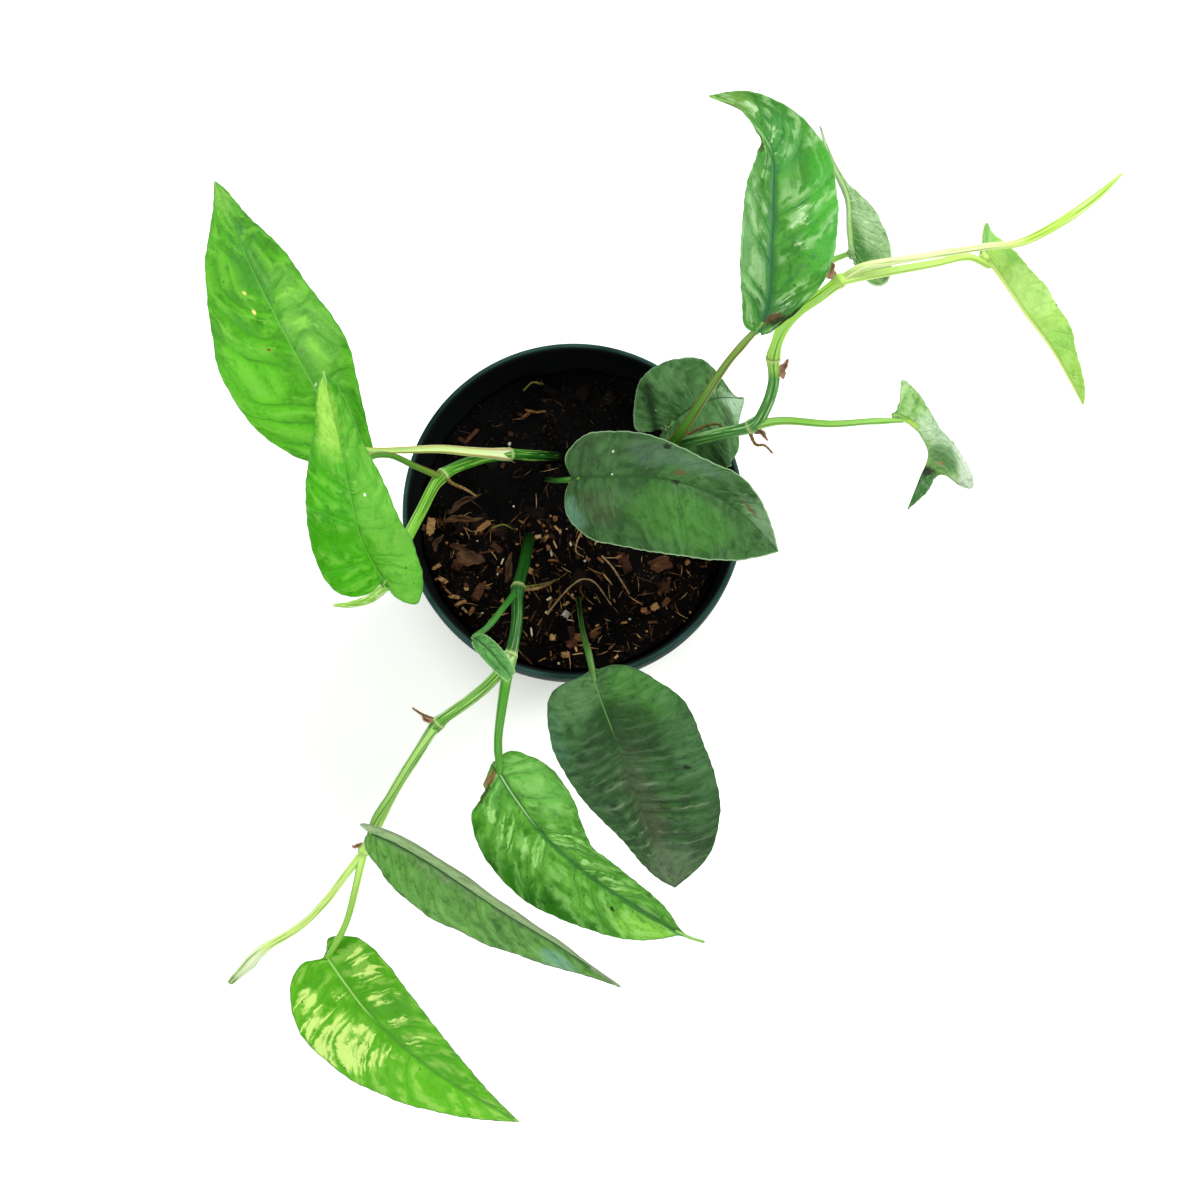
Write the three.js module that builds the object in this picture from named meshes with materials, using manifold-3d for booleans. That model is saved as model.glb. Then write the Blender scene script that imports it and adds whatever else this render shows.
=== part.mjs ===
// A cebu blue pothos in its nursery pot: three trailing vines, thirteen leaves and three rolled
// new leaves, in millimetres. The origin is the middle of the pot's flat underside, and +Z is up.
import * as THREE from 'three';
import { mergeVertices } from 'three/addons/utils/BufferGeometryUtils.js';
import Module from 'manifold-3d';

const wasm = await Module();
wasm.setup();

// Driving dimensions
const RIM_RADIUS = 54;
const POT_HEIGHT = 90;
const BASE_RADIUS = 38;
const BAND_HEIGHT = 11;
const BAND_STEP = 1.8;
const WALL = 1.3;
const POT_FLOOR = 2;
const POT_SIDES = 48;
const DRAIN_HOLES = 6;
const DRAIN_RADIUS = 4.5;
const DRAIN_RING = 25;
const SOIL_LEVEL = 75;
const SOIL_RELIEF = 1.6;
const CHIP_COUNT = 26;
const GAP = 0.3;
const BLADE = 0.8;
const KEEL = 0.9;
const NODE_SWELL = 0.5;
const NODE_REACH = 2.2;
const STEM_SIDES = 8;
const PETIOLE_SIDES = 6;
const STALK_TIP = 0.4;
const MARGIN_WAVE = 0.5;
const LINES = 16;
const COLUMNS = 3;
const CROWDING = 1.2;

// Each vine: its route, its radius at both ends, the places of its nodes, and its aerial roots
const VINES = {
  vine_left: {
    route: [[-4.5, 23.5, 60], [-6, 20, 76], [-13, 17, 90], [-20.5, 15.5, 98], [-30, 12.5, 103],
      [-40, 6.5, 107], [-46, -5, 109], [-52.5, -18, 108], [-56.5, -27, 105]],
    radius: [1.6, 1.7],
    nodes: [[-20.5, 15.5, 98], [-40, 6.5, 107]],
    roots: [[[-38.5, 6, 107], [-36, 4, 108], [-32.5, 2.5, 107.5], [-29.5, 1, 105]]],
  },
  vine_right: {
    route: [[13, 14, 60], [15.5, 12, 77], [21.5, 14, 92], [29.5, 16.5, 104], [36, 17, 110], [44.5, 18, 115],
      [54, 19.5, 119], [57.5, 23.5, 124], [59.5, 30, 129], [59, 36.5, 134], [61, 42.5, 140], [65, 46.5, 145],
      [70.5, 49.5, 149], [76.5, 53.5, 152]],
    radius: [1.9, 1.6],
    nodes: [[29.5, 16.5, 104], [54, 19.5, 119], [59, 36.5, 134], [76.5, 53.5, 152]],
    roots: [
      [[32, 16.8, 106.5], [37, 20, 110], [43.5, 21.5, 113], [46.5, 18.5, 115.5]],
      [[53, 18.5, 118], [55, 14.5, 116.5], [58, 14.5, 114.5], [60.5, 12.5, 113]],
    ],
  },
  vine_front: {
    route: [[-14.5, 0.5, 60], [-14.5, -8, 77], [-15.5, -17.5, 87], [-17, -26.5, 95], [-17, -37.5, 100],
      [-19, -48.5, 103], [-24, -55.5, 104], [-31, -61.5, 103], [-41, -68.5, 99], [-48, -78, 94],
      [-55, -88, 88], [-61.5, -99.5, 80], [-66, -107, 75]],
    radius: [1.9, 1.5],
    nodes: [[-17, -26.5, 95], [-19, -48.5, 103], [-41, -68.5, 99], [-66, -107, 75]],
    roots: [
      [[-15.5, -26.5, 94.5], [-11.5, -26, 93.5], [-8, -24.5, 91.5], [-5.5, -22.5, 89]],
      [[-42, -67, 99.5], [-45.5, -65.5, 100], [-48.5, -63.5, 99]],
    ],
  },
};

// Each leaf: the petiole's route up to the blade, its radius at both ends, the midrib from the base to
// the tip, the way the upper face looks, how far each half is folded up from flat, how far the
// margin droops, and the margin on each side as [along the rib, across it] from the base
const LEAVES = {
  leaf_left_back: {
    vine: 'vine_left',
    petiole: [[-20.5, 15.5, 98], [-30.5, 14, 108], [-40, 13.5, 114], [-51, 12, 119], [-59.5, 11.5, 121]],
    radius: [1.7, 0.7],
    rib: [[-66, 11.5, 121], [-72.5, 23.5, 128], [-82.5, 41, 131], [-96.5, 67.5, 125], [-112.5, 101.5, 106]],
    face: [-0.1, -0.1, 1], fold: [8, 8], droop: 3,
    left: [[-2, -3], [0, -8], [3, -13], [8, -16.8], [15.6, -20.5], [24, -22.3], [33, -22.9],
      [43.6, -21.9], [56, -18], [67.7, -14.6], [76, -12], [86, -7.9], [96, -3.8]],
    right: [[-2, 6.4], [0, 7.3], [9, 9.7], [17.6, 12.5], [26.6, 15.2], [35.6, 15.3], [48.3, 13.3],
      [62.3, 11.7], [73, 9], [83.5, 6], [94.5, 3.8], [102.4, 2.2]],
  },
  leaf_left_front: {
    vine: 'vine_left',
    petiole: [[-40, 6.5, 107], [-47, 7.5, 118], [-53.5, 8.5, 128], [-59, 5, 135], [-60, -8, 142],
      [-57, -23, 146]],
    radius: [1, 0.9],
    rib: [[-52, -31.5, 147], [-57, -22, 153], [-60, -10.5, 155], [-64, 7, 153], [-70.5, 29.5, 144]],
    face: [0, 0, 1], fold: [22, 24], droop: 1,
    left: [[-1, -5], [1, -10], [7, -14], [16, -14], [30, -12], [36, -10], [48, -6], [60, -3]],
    right: [[-6, 1], [-10, 6], [-4, 11], [4, 13], [11, 14], [27, 11], [40, 7], [57, 4]],
  },
  leaf_right_top: {
    vine: 'vine_right',
    petiole: [[29.5, 16.5, 104], [33.5, 19, 116], [43.5, 30.5, 140], [48.5, 35, 150]],
    radius: [1.7, 0.9],
    rib: [[53, 37.5, 154], [55.5, 45.5, 158], [56, 58.5, 160], [57, 74.5, 158], [57.5, 93, 151],
      [51.5, 108, 142], [41, 118, 131]],
    face: [0, 0, 1], fold: [8, 8], droop: 3,
    left: [[0, -3.5], [2.5, -6], [10, -8], [18, -8.7], [27, -8.7], [38, -8.3], [45.5, -7.4], [54, -5.2],
      [66, -2.5], [80, -1]],
    right: [[0.5, 2.5], [5.5, 6], [10, 10.5], [15, 15], [23, 17.7], [32, 18.3], [40.5, 18.4],
      [52.5, 16.7], [58.5, 14.5], [65.5, 12], [72, 9.3], [85, 4.7]],
  },
  leaf_right_back: {
    vine: 'vine_right',
    petiole: [[59, 36.5, 134], [61, 45, 130], [66, 56, 128], [71.5, 63, 129], [76.5, 66, 132]],
    radius: [1.3, 0.8],
    rib: [[81.5, 66.5, 138], [81, 74.5, 139], [81, 85, 136], [77.5, 98, 130], [75.5, 113.5, 120]],
    face: [0.1, 0, 1], fold: [-100, 5], droop: 2,
    left: [[0, -2.5], [6, -4.5], [14, -5], [26, -3.5], [40, -1.8]],
    right: [[-5, 1.6], [-8.2, 4], [-9.8, 5.7], [-10.2, 8.7], [-8.5, 11], [-5, 12], [0.3, 12.3], [7, 11.2],
      [13, 8.8], [16, 6.2], [19.5, 3.5], [24, 1.5], [40, 0.7]],
  },
  leaf_right_low: {
    vine: 'vine_right',
    petiole: [[76.5, 53.5, 152], [89, 56, 151], [103.5, 59, 150], [113, 61.3, 149]],
    radius: [1.4, 0.9],
    rib: [[118, 62, 147], [123.5, 56, 144], [132.5, 48.5, 135], [143.5, 41, 123], [157, 29, 106]],
    face: [0, 0, 1], fold: [6, -125], droop: 1,
    left: [[-4.5, -3], [-7, -6.7], [-3, -6.5], [3, -8], [9, -9], [17.5, -10], [27, -11], [34, -10.3],
      [42, -8.8], [48, -6.8], [55, -5], [62.5, -2.7]],
    right: [[-3, 2], [0, 5], [12, 7], [28, 8], [44, 6], [58, 3]],
  },
  leaf_right_curled: {
    vine: 'vine_right',
    petiole: [[54, 19.5, 119], [63, 19.7, 124], [76, 18, 127], [88, 19, 126]],
    radius: [1.3, 0.8],
    rib: [[96, 21.5, 122], [101.5, 20, 119], [106.5, 18, 112], [110, 14.5, 102], [109, 9, 91],
      [107, 1.5, 80]],
    face: [0, 0, 1], fold: [12, -100], droop: 1,
    left: [[0, -5], [-2, -11], [3, -10], [7, -8], [15, -6], [20, -6], [25, -8], [28, -11], [31, -15],
      [34, -16], [34.5, -12], [33, -8], [33, -5.5], [36, -4.2], [41, -4], [46, -2.5]],
    right: [[3, 1.2], [12, 1.6], [23, 1.6], [30, 1.3], [37, 2.6], [45, 1.5]],
  },
  leaf_soil_right: {
    petiole: [[-11.5, 15, 60], [-8.5, 12, 77], [-5, 8.5, 92]],
    radius: [0.8, 0.8],
    rib: [[0, 6, 106], [10, 5, 114], [25, 3.5, 119], [38.5, 0, 119], [51, -6.5, 114], [63, -16, 103]],
    face: [0, -0.05, 1], fold: [6, 6], droop: 4,
    left: [[-3, -6], [-1, -10], [5, -13.5], [14, -14], [25, -13], [41, -9], [53, -9], [68, -4]],
    right: [[-2, 4], [-1, 11], [5, 17], [13, 20], [33, 22], [52, 19], [65, 13], [72, 6]],
  },
  leaf_soil_back: {
    petiole: [[23, 11, 60], [23.5, 12, 77], [26, 18, 88]],
    radius: [1.1, 0.9],
    rib: [[29.5, 25, 95], [37, 30, 100], [45.5, 32.5, 102], [53.5, 33, 99]],
    face: [0, -0.1, 1], fold: [5, 5], droop: 2,
    left: [[-5, -2], [-8.5, -5], [-7.7, -8], [-4, -12.2], [0, -15.6], [4.7, -17], [8.3, -17], [11.5, -16],
      [16.5, -13.5], [19, -10], [21, -5.4], [24, -1.2]],
    right: [[-5, 1], [-8, 5], [-6, 11], [-1.5, 18], [6, 22], [19, 21.5], [24.5, 19], [26.3, 15], [26, 8]],
  },
  leaf_soil_front: {
    petiole: [[1, -21.5, 60], [1.5, -27, 77], [3, -38.5, 91], [5, -47, 98]],
    radius: [1.1, 1],
    rib: [[6, -52.5, 99], [9, -62, 100], [13.5, -73.5, 96], [18.5, -86.5, 88], [25, -101.5, 77],
      [32.5, -118.5, 62]],
    face: [0, -0.15, 1], fold: [5, 5], droop: 4,
    left: [[0, -7], [3, -13], [9, -18], [20, -24], [34, -25], [48, -25], [62, -22], [75, -14]],
    right: [[1, 10], [4, 15], [12, 18], [22, 19], [38, 16], [55, 10], [67, 7], [76, 4]],
  },
  leaf_front_small: {
    vine: 'vine_front',
    petiole: [[-17, -26.5, 95], [-21, -33.5, 104], [-25, -40, 111]],
    radius: [1, 0.8],
    rib: [[-29, -43.5, 113], [-26, -46, 114], [-23, -49, 114], [-20.5, -52, 113], [-18, -55, 111]],
    face: [0.1, -0.2, 1], fold: [5, 5], droop: 0,
    left: [[1, -2], [4, -3], [10, -3], [16, -2]],
    right: [[1, 2], [5, 3], [11, 3], [17, 2]],
  },
  leaf_front_middle: {
    vine: 'vine_front',
    petiole: [[-19, -48.5, 103], [-19.5, -54, 106], [-21, -63, 104], [-22.5, -73, 98]],
    radius: [1.8, 1],
    rib: [[-24, -80.5, 91], [-17, -91.5, 88], [-7.5, -103.5, 82], [4.5, -114, 73], [19.5, -124.5, 61],
      [35.5, -134, 47], [43.5, -137, 43]],
    face: [0.1, -0.2, 1], fold: [10, 10], droop: 2,
    left: [[-1.5, -3.5], [-1.5, -6], [0, -8.5], [2.2, -10.3], [6.5, -13.3], [12, -14.9], [18.3, -15],
      [25, -14.2], [31.7, -11.8], [38.6, -9.2], [42.6, -7.9], [51, -8], [61, -7.5], [72.7, -6.5],
      [82, -4.7], [93, -0.8]],
    right: [[0.3, 2], [3, 6], [4.5, 8], [6.8, 12], [10, 14.9], [15, 17.2], [21, 18.5], [27.5, 18.9],
      [35, 18.8], [42, 18.3], [50, 16.4], [58.5, 14.5], [67, 12.5], [79.5, 8.3], [89, 3], [93, 0.8]],
  },
  leaf_front_folded: {
    vine: 'vine_front',
    petiole: [[-41, -68.5, 99], [-47.5, -78, 100.5], [-54.5, -89, 98], [-60, -97, 95]],
    radius: [1.2, 0.9],
    rib: [[-61.5, -101, 92], [-53, -104.5, 95], [-41, -111.5, 94], [-22, -124.5, 87], [-4, -136, 77],
      [15, -149.5, 65]],
    face: [-0.2, -0.4, 1], fold: [50, 4], droop: 1,
    left: [[-2, -5], [3, -9.7], [14, -11.7], [29, -12.2], [43, -11.4], [55, -9.6], [68, -7.1],
      [82, -3.3]],
    right: [[-1.5, 2.4], [0, 6], [3.5, 9], [14, 13], [29, 15.3], [42.6, 14], [55, 11.8], [68, 9],
      [77.3, 6.5], [87, 3]],
  },
  leaf_front_tip: {
    vine: 'vine_front',
    petiole: [[-66, -107, 75], [-68.5, -117.5, 72], [-72, -128.5, 66], [-76.5, -136.5, 60]],
    radius: [1.2, 0.9],
    rib: [[-79.5, -141, 57], [-73, -149.5, 58], [-66, -158.5, 56], [-55, -170, 50], [-41, -182, 41],
      [-18.5, -197, 28]],
    face: [0.1, -0.2, 1], fold: [8, 8], droop: 2,
    left: [[-3, -2], [-4.8, -4.5], [-2, -9], [1, -12], [6, -14], [11.5, -14.7], [17, -15], [29, -14],
      [42, -12], [58.5, -8.5], [75, -3.8]],
    right: [[-1.5, 3], [-3.4, 7], [-2.2, 11.5], [0.5, 15], [7, 19], [14.5, 20.7], [22.5, 20.5],
      [32, 19.3], [42, 17], [53, 13.7], [64, 10], [77, 5.5]],
  },
};

// Each new leaf, still rolled: its route, and its radius at points evenly spaced along it
const NEW_LEAVES = {
  new_leaf_left: {
    vine: 'vine_left',
    route: [[-56.5, -27, 105], [-61.5, -30.5, 103], [-67.5, -32, 101], [-73, -32, 99]],
    radius: [1.5, 1.4, 1.1, 0.5],
  },
  new_leaf_right: {
    vine: 'vine_right', beside: 'leaf_right_low',
    route: [[76.5, 53.5, 152], [82, 56.2, 154.5], [90, 57.4, 156], [102, 59.2, 156.5], [116.5, 61.5, 156.5],
      [127, 63.2, 155.5], [139, 70, 153.5], [150, 78.5, 150], [159, 87.3, 146]],
    radius: [1.3, 1.2, 1, 1, 1, 1.3, 1.45, 1.2, 0.4],
  },
  new_leaf_front: {
    vine: 'vine_front', beside: 'leaf_front_tip',
    route: [[-66, -107, 75], [-72, -114.5, 72.5], [-78.5, -122.5, 68.5], [-87.5, -130.5, 62],
      [-101, -138.5, 54], [-106.5, -143.5, 50], [-113, -149.5, 45]],
    radius: [1.3, 1.2, 1.2, 1.2, 1.3, 2.2, 1],
  },
};

const COLOURS = {
  pot: { color: 0x17332f, roughness: 0.45, metalness: 0 },
  soil: { color: 0x1c1410, roughness: 0.95, metalness: 0 },
  vine: { color: 0x2f6f2c, roughness: 0.5, metalness: 0 },
  youngLeaf: { color: 0x54b03a, roughness: 0.45, metalness: 0 },
  newLeaf: { color: 0xaadc4e, roughness: 0.45, metalness: 0 },
  oldLeaf: { color: 0x466f48, roughness: 0.5, metalness: 0 },
};

// Repeatable numbers from 0 to 1 for what is scattered
function scatter(seed) {
  let state = seed;
  return () => {
    state = (state * 1664525 + 1013904223) % 4294967296;
    return state / 4294967296;
  };
}

const vectors = (points) => points.map((point) => new THREE.Vector3(...point));
const curveThrough = (points) => new THREE.CatmullRomCurve3(points, false, 'catmullrom');
const mix = THREE.MathUtils.lerp;

function pointsOf(attribute) {
  const points = [];
  for (let i = 0; i < attribute.count; i++) {
    points.push(new THREE.Vector3().fromBufferAttribute(attribute, i));
  }
  return points;
}

// A closed geometry from points and triangles, turned so that its faces point out
function closedBody(points, triangles) {
  let volume = 0;
  for (const [a, b, c] of triangles) {
    volume += points[a].dot(new THREE.Vector3().crossVectors(points[b], points[c]));
  }
  const outward = volume > 0 ? triangles : triangles.map(([a, b, c]) => [a, c, b]);
  const geometry = new THREE.BufferGeometry();
  const numbers = points.flatMap((point) => point.toArray());
  geometry.setAttribute('position', new THREE.Float32BufferAttribute(numbers, 3));
  geometry.setIndex(outward.flat());
  return geometry;
}

// A geometry whose shared points are one, so that only its shape is left
function weld(geometry) {
  const bare = geometry.clone();
  bare.deleteAttribute('normal');
  bare.deleteAttribute('uv');
  return mergeVertices(bare, 1e-4);
}

function solidOf(geometry) {
  const merged = weld(geometry);
  const mesh = new wasm.Mesh({
    numProp: 3,
    vertProperties: Float32Array.from(merged.attributes.position.array),
    triVerts: Uint32Array.from(merged.index.array),
  });
  return new wasm.Manifold(mesh);
}

// The geometry of a solid's largest body, without the scraps that a cut leaves
function geometryOf(solid) {
  const bodies = solid.decompose();
  const largest = bodies.reduce((best, body) => (body.volume() > best.volume() ? body : best));
  const mesh = largest.getMesh();
  const geometry = new THREE.BufferGeometry();
  geometry.setAttribute('position', new THREE.Float32BufferAttribute(Array.from(mesh.vertProperties), 3));
  geometry.setIndex(Array.from(mesh.triVerts));
  return geometry;
}

// A stalk along a curve, with a point closing each end; grow makes it that much fatter and longer
function stalk(curve, radiusAt, sides, stepLength, grow = 0) {
  const length = curve.getLength();
  const steps = Math.max(2, Math.round(length / stepLength));
  const frames = curve.computeFrenetFrames(steps);
  const points = [];
  for (let i = 0; i <= steps; i++) {
    const centre = curve.getPointAt(i / steps);
    const radius = radiusAt(i / steps) + grow;
    for (let k = 0; k < sides; k++) {
      const angle = (2 * Math.PI * k) / sides;
      points.push(centre.clone()
        .addScaledVector(frames.normals[i], radius * Math.cos(angle))
        .addScaledVector(frames.binormals[i], radius * Math.sin(angle)));
    }
  }
  const start = points.length;
  points.push(curve.getPointAt(0).addScaledVector(frames.tangents[0], -STALK_TIP - grow));
  points.push(curve.getPointAt(1).addScaledVector(frames.tangents[steps], STALK_TIP + grow));
  const triangles = [];
  for (let k = 0; k < sides; k++) {
    const next = (k + 1) % sides;
    for (let i = 0; i < steps; i++) {
      const [ring, after] = [i * sides, (i + 1) * sides];
      triangles.push([ring + k, ring + next, after + next], [ring + k, after + next, after + k]);
    }
    const last = steps * sides;
    triangles.push([start, next, k], [start + 1, last + k, last + next]);
  }
  return solidOf(closedBody(points, triangles));
}

function fractionNear(curve, point) {
  const steps = 400;
  let best = 0;
  let nearest = Infinity;
  for (let i = 0; i <= steps; i++) {
    const distance = curve.getPointAt(i / steps).distanceTo(point);
    if (distance < nearest) {
      nearest = distance;
      best = i / steps;
    }
  }
  return best;
}

// A vine's stem swells at each node
function vineStem(vine, grow = 0) {
  const curve = curveThrough(vectors(vine.route));
  const length = curve.getLength();
  const nodes = vectors(vine.nodes).map((node) => fractionNear(curve, node));
  const radiusAt = (u) => {
    const swells = nodes.map((node) => Math.exp(-((((u - node) * length) / NODE_REACH) ** 2)));
    return mix(vine.radius[0], vine.radius[1], u) + NODE_SWELL * Math.max(...swells);
  };
  return stalk(curve, radiusAt, STEM_SIDES, 3.2, grow);
}

function vineSolid(vine) {
  const roots = vine.roots.map((route) =>
    stalk(curveThrough(vectors(route)), (u) => mix(0.75, 0.4, u), 5, 2.5));
  return roots.reduce((solid, root) => solid.add(root), vineStem(vine));
}

// The petiole runs on under the first stretch of the midrib
function petioleSolid(leaf, grow = 0) {
  const rib = curveThrough(vectors(leaf.rib));
  const under = rib.getPointAt(Math.min(0.3, 4 / rib.getLength()));
  under.addScaledVector(new THREE.Vector3(...leaf.face).normalize(), -leaf.radius[1]);
  const route = [...vectors(leaf.petiole), rib.getPointAt(0), under];
  return stalk(curveThrough(route), (u) => mix(leaf.radius[0], leaf.radius[1], u), PETIOLE_SIDES, 5, grow);
}

// The place of a point on the blade's middle surface, from its distances along and across the rib
function bladeSurface(leaf) {
  const rib = curveThrough(vectors(leaf.rib));
  const length = rib.getLength();
  const face = new THREE.Vector3(...leaf.face);
  const halfWidth = Math.max(...[...leaf.left, ...leaf.right].map(([, across]) => Math.abs(across)));
  const place = (along, across) => {
    const held = THREE.MathUtils.clamp(along, 0, length);
    const tangent = rib.getTangentAt(held / length);
    const side = new THREE.Vector3().crossVectors(tangent, face).normalize();
    const up = new THREE.Vector3().crossVectors(side, tangent);
    const fold = THREE.MathUtils.degToRad(across < 0 ? leaf.fold[0] : leaf.fold[1]);
    const reach = Math.abs(across) / halfWidth;
    const wave = MARGIN_WAVE * reach * reach * Math.sin(along * 0.35 + (across < 0 ? 0 : 2));
    const lift = Math.abs(across) * Math.sin(fold) - leaf.droop * reach * reach + wave;
    return rib.getPointAt(held / length)
      .addScaledVector(tangent, along - held)
      .addScaledVector(side, across * Math.cos(fold))
      .addScaledVector(up, lift);
  };
  return { place, length };
}

// The blade: lines run from the midrib to the margin on each side, as its veins do
function bladeSolid(leaf) {
  const { place, length } = bladeSurface(leaf);
  const marginOf = (outline) => {
    const flat = [[0, 0], ...outline, [length, 0]].map(([along, across]) => [along, across, 0]);
    return curveThrough(vectors(flat));
  };
  const margins = [marginOf(leaf.left), marginOf(leaf.right)];
  const middle = [place(0, 0)];
  const rows = [[0]];
  const keel = [0];
  for (let line = 1; line < LINES; line++) {
    const u = (line / LINES) ** CROWDING;
    const ribAlong = length * u ** 1.6;
    const row = [];
    for (let column = -COLUMNS; column <= COLUMNS; column++) {
      const margin = margins[column < 0 ? 0 : 1].getPointAt(u);
      const t = Math.abs(column) / COLUMNS;
      row.push(middle.length);
      middle.push(place(mix(ribAlong, margin.x, t), margin.y * t));
      keel.push(column === 0 ? KEEL * (1 - 0.8 * u) : 0);
    }
    rows.push(row);
  }
  rows.push([middle.length]);
  middle.push(place(length, 0));
  keel.push(0);

  const faces = [];
  for (let line = 0; line < LINES; line++) {
    const [near, far] = [rows[line], rows[line + 1]];
    for (let column = 0; column < 2 * COLUMNS; column++) {
      const [a, b] = near.length === 1 ? [near[0], near[0]] : [near[column], near[column + 1]];
      const [c, d] = far.length === 1 ? [far[0], far[0]] : [far[column], far[column + 1]];
      const halves = column < COLUMNS ? [[a, b, c], [b, d, c]] : [[a, b, d], [a, d, c]];
      faces.push(...halves.filter((corners) => new Set(corners).size === 3));
    }
  }
  const sheet = new THREE.BufferGeometry().setFromPoints(middle);
  sheet.setIndex(faces.flat());
  sheet.computeVertexNormals();
  const normals = pointsOf(sheet.attributes.normal);
  const upper = middle.map((point, i) => point.clone().addScaledVector(normals[i], BLADE / 2));
  const under = middle.map((point, i) => point.clone().addScaledVector(normals[i], -BLADE / 2 - keel[i]));
  const count = middle.length;
  const edge = [...rows.map((row) => row[0]), ...rows.slice(1, -1).reverse().map((row) => row.at(-1))];
  const triangles = [...faces, ...faces.map(([a, b, c]) => [a + count, c + count, b + count])];
  edge.forEach((from, i) => {
    const to = edge[(i + 1) % edge.length];
    triangles.push([from, to, to + count], [from, to + count, from + count]);
  });
  return solidOf(closedBody([...upper, ...under], triangles));
}

function leafSolid(leaf) {
  const whole = bladeSolid(leaf).add(petioleSolid(leaf));
  return leaf.vine ? whole.subtract(vineStem(VINES[leaf.vine], GAP)) : whole;
}

function newLeafSolid(shoot) {
  const last = shoot.radius.length - 1;
  const radiusAt = (u) => {
    const step = Math.min(Math.floor(u * last), last - 1);
    return mix(shoot.radius[step], shoot.radius[step + 1], u * last - step);
  };
  const rolled = stalk(curveThrough(vectors(shoot.route)), radiusAt, PETIOLE_SIDES, 3.5)
    .subtract(vineStem(VINES[shoot.vine], GAP));
  return shoot.beside ? rolled.subtract(petioleSolid(LEAVES[shoot.beside], GAP)) : rolled;
}

// A lathe's skin as a solid, without the empty triangles on its axis
function turnedSolid(geometry) {
  const merged = weld(geometry);
  const points = pointsOf(merged.attributes.position);
  const triangles = [];
  for (let i = 0; i < merged.index.count; i += 3) {
    const corners = [0, 1, 2].map((k) => merged.index.getX(i + k));
    if (new Set(corners).size === 3) triangles.push(corners);
  }
  return solidOf(closedBody(points, triangles));
}

// The pot's wall leans out to the step under its rim band
const bandFoot = POT_HEIGHT - BAND_HEIGHT;
const wallTopRadius = RIM_RADIUS - BAND_STEP;
const innerRadiusAt = (z) => mix(BASE_RADIUS, wallTopRadius, z / bandFoot) - WALL;

function potSolid() {
  const profile = [
    [0, 0], [BASE_RADIUS - 1.5, 0], [BASE_RADIUS, 1.5],
    [wallTopRadius, bandFoot], [RIM_RADIUS - 0.4, bandFoot], [RIM_RADIUS, bandFoot + 1],
    [RIM_RADIUS, POT_HEIGHT - 1], [RIM_RADIUS - 0.7, POT_HEIGHT],
    [RIM_RADIUS - 2, POT_HEIGHT], [RIM_RADIUS - 2.5, POT_HEIGHT - 1],
    [innerRadiusAt(bandFoot) + 0.3, bandFoot], [innerRadiusAt(POT_FLOOR), POT_FLOOR], [0, POT_FLOOR],
  ].map(([radius, z]) => new THREE.Vector2(radius, z));
  const body = new THREE.LatheGeometry(profile, POT_SIDES).rotateX(Math.PI / 2);
  let solid = turnedSolid(body);
  for (let i = 0; i < DRAIN_HOLES; i++) {
    const angle = (2 * Math.PI * i) / DRAIN_HOLES;
    const drill = new THREE.CylinderGeometry(DRAIN_RADIUS, DRAIN_RADIUS, 3 * POT_FLOOR, 12)
      .rotateX(Math.PI / 2)
      .translate(DRAIN_RING * Math.cos(angle), DRAIN_RING * Math.sin(angle), POT_FLOOR / 2);
    solid = solid.subtract(solidOf(drill));
  }
  return solid;
}

// The soil's uneven top, a little lower towards the wall
function soilHeight(x, y) {
  const bumps = Math.sin(x * 0.31 + 1) * Math.cos(y * 0.27) + 0.6 * Math.sin(x * 0.13 - y * 0.19 + 2);
  return SOIL_LEVEL + SOIL_RELIEF * bumps - 2 * ((x * x + y * y) / RIM_RADIUS ** 2);
}

function soilSolid() {
  const rings = 8;
  const sectors = 32;
  const footZ = POT_FLOOR + GAP;
  const edgeAt = (z) => innerRadiusAt(z) - GAP - 0.1;
  const points = [new THREE.Vector3(0, 0, soilHeight(0, 0))];
  const ringStart = (ring) => 1 + (ring - 1) * sectors;
  for (let ring = 1; ring <= rings + 1; ring++) {
    for (let sector = 0; sector < sectors; sector++) {
      const angle = (2 * Math.PI * sector) / sectors;
      const foot = ring > rings;
      const radius = foot ? edgeAt(footZ) : (edgeAt(SOIL_LEVEL - 4) * ring) / rings;
      const x = radius * Math.cos(angle);
      const y = radius * Math.sin(angle);
      points.push(new THREE.Vector3(x, y, foot ? footZ : soilHeight(x, y)));
    }
  }
  const foot = points.length;
  points.push(new THREE.Vector3(0, 0, footZ));
  const triangles = [];
  for (let sector = 0; sector < sectors; sector++) {
    const next = (sector + 1) % sectors;
    triangles.push([0, 1 + sector, 1 + next]);
    for (let ring = 1; ring <= rings; ring++) {
      const [inner, outer] = [ringStart(ring), ringStart(ring + 1)];
      triangles.push([inner + sector, outer + sector, outer + next]);
      triangles.push([inner + sector, outer + next, inner + next]);
    }
    triangles.push([foot, ringStart(rings + 1) + next, ringStart(rings + 1) + sector]);
  }
  return solidOf(closedBody(points, triangles));
}

// Bark chips lie half sunk in the soil, clear of the stems' holes and the wall
function barkChips() {
  const random = scatter(7);
  const chips = [];
  for (let i = 0; i < CHIP_COUNT; i++) {
    const angle = 2 * Math.PI * random();
    const radius = 44 * Math.sqrt(random());
    const [x, y] = [radius * Math.cos(angle), radius * Math.sin(angle)];
    const chip = new THREE.BoxGeometry(3 + 5 * random(), 1.8 + 2 * random(), 1.8)
      .rotateX(0.5 * random())
      .rotateY(0.4 * random())
      .rotateZ(Math.PI * random())
      .translate(x, y, soilHeight(x, y));
    chips.push(solidOf(chip));
  }
  return chips;
}

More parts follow.
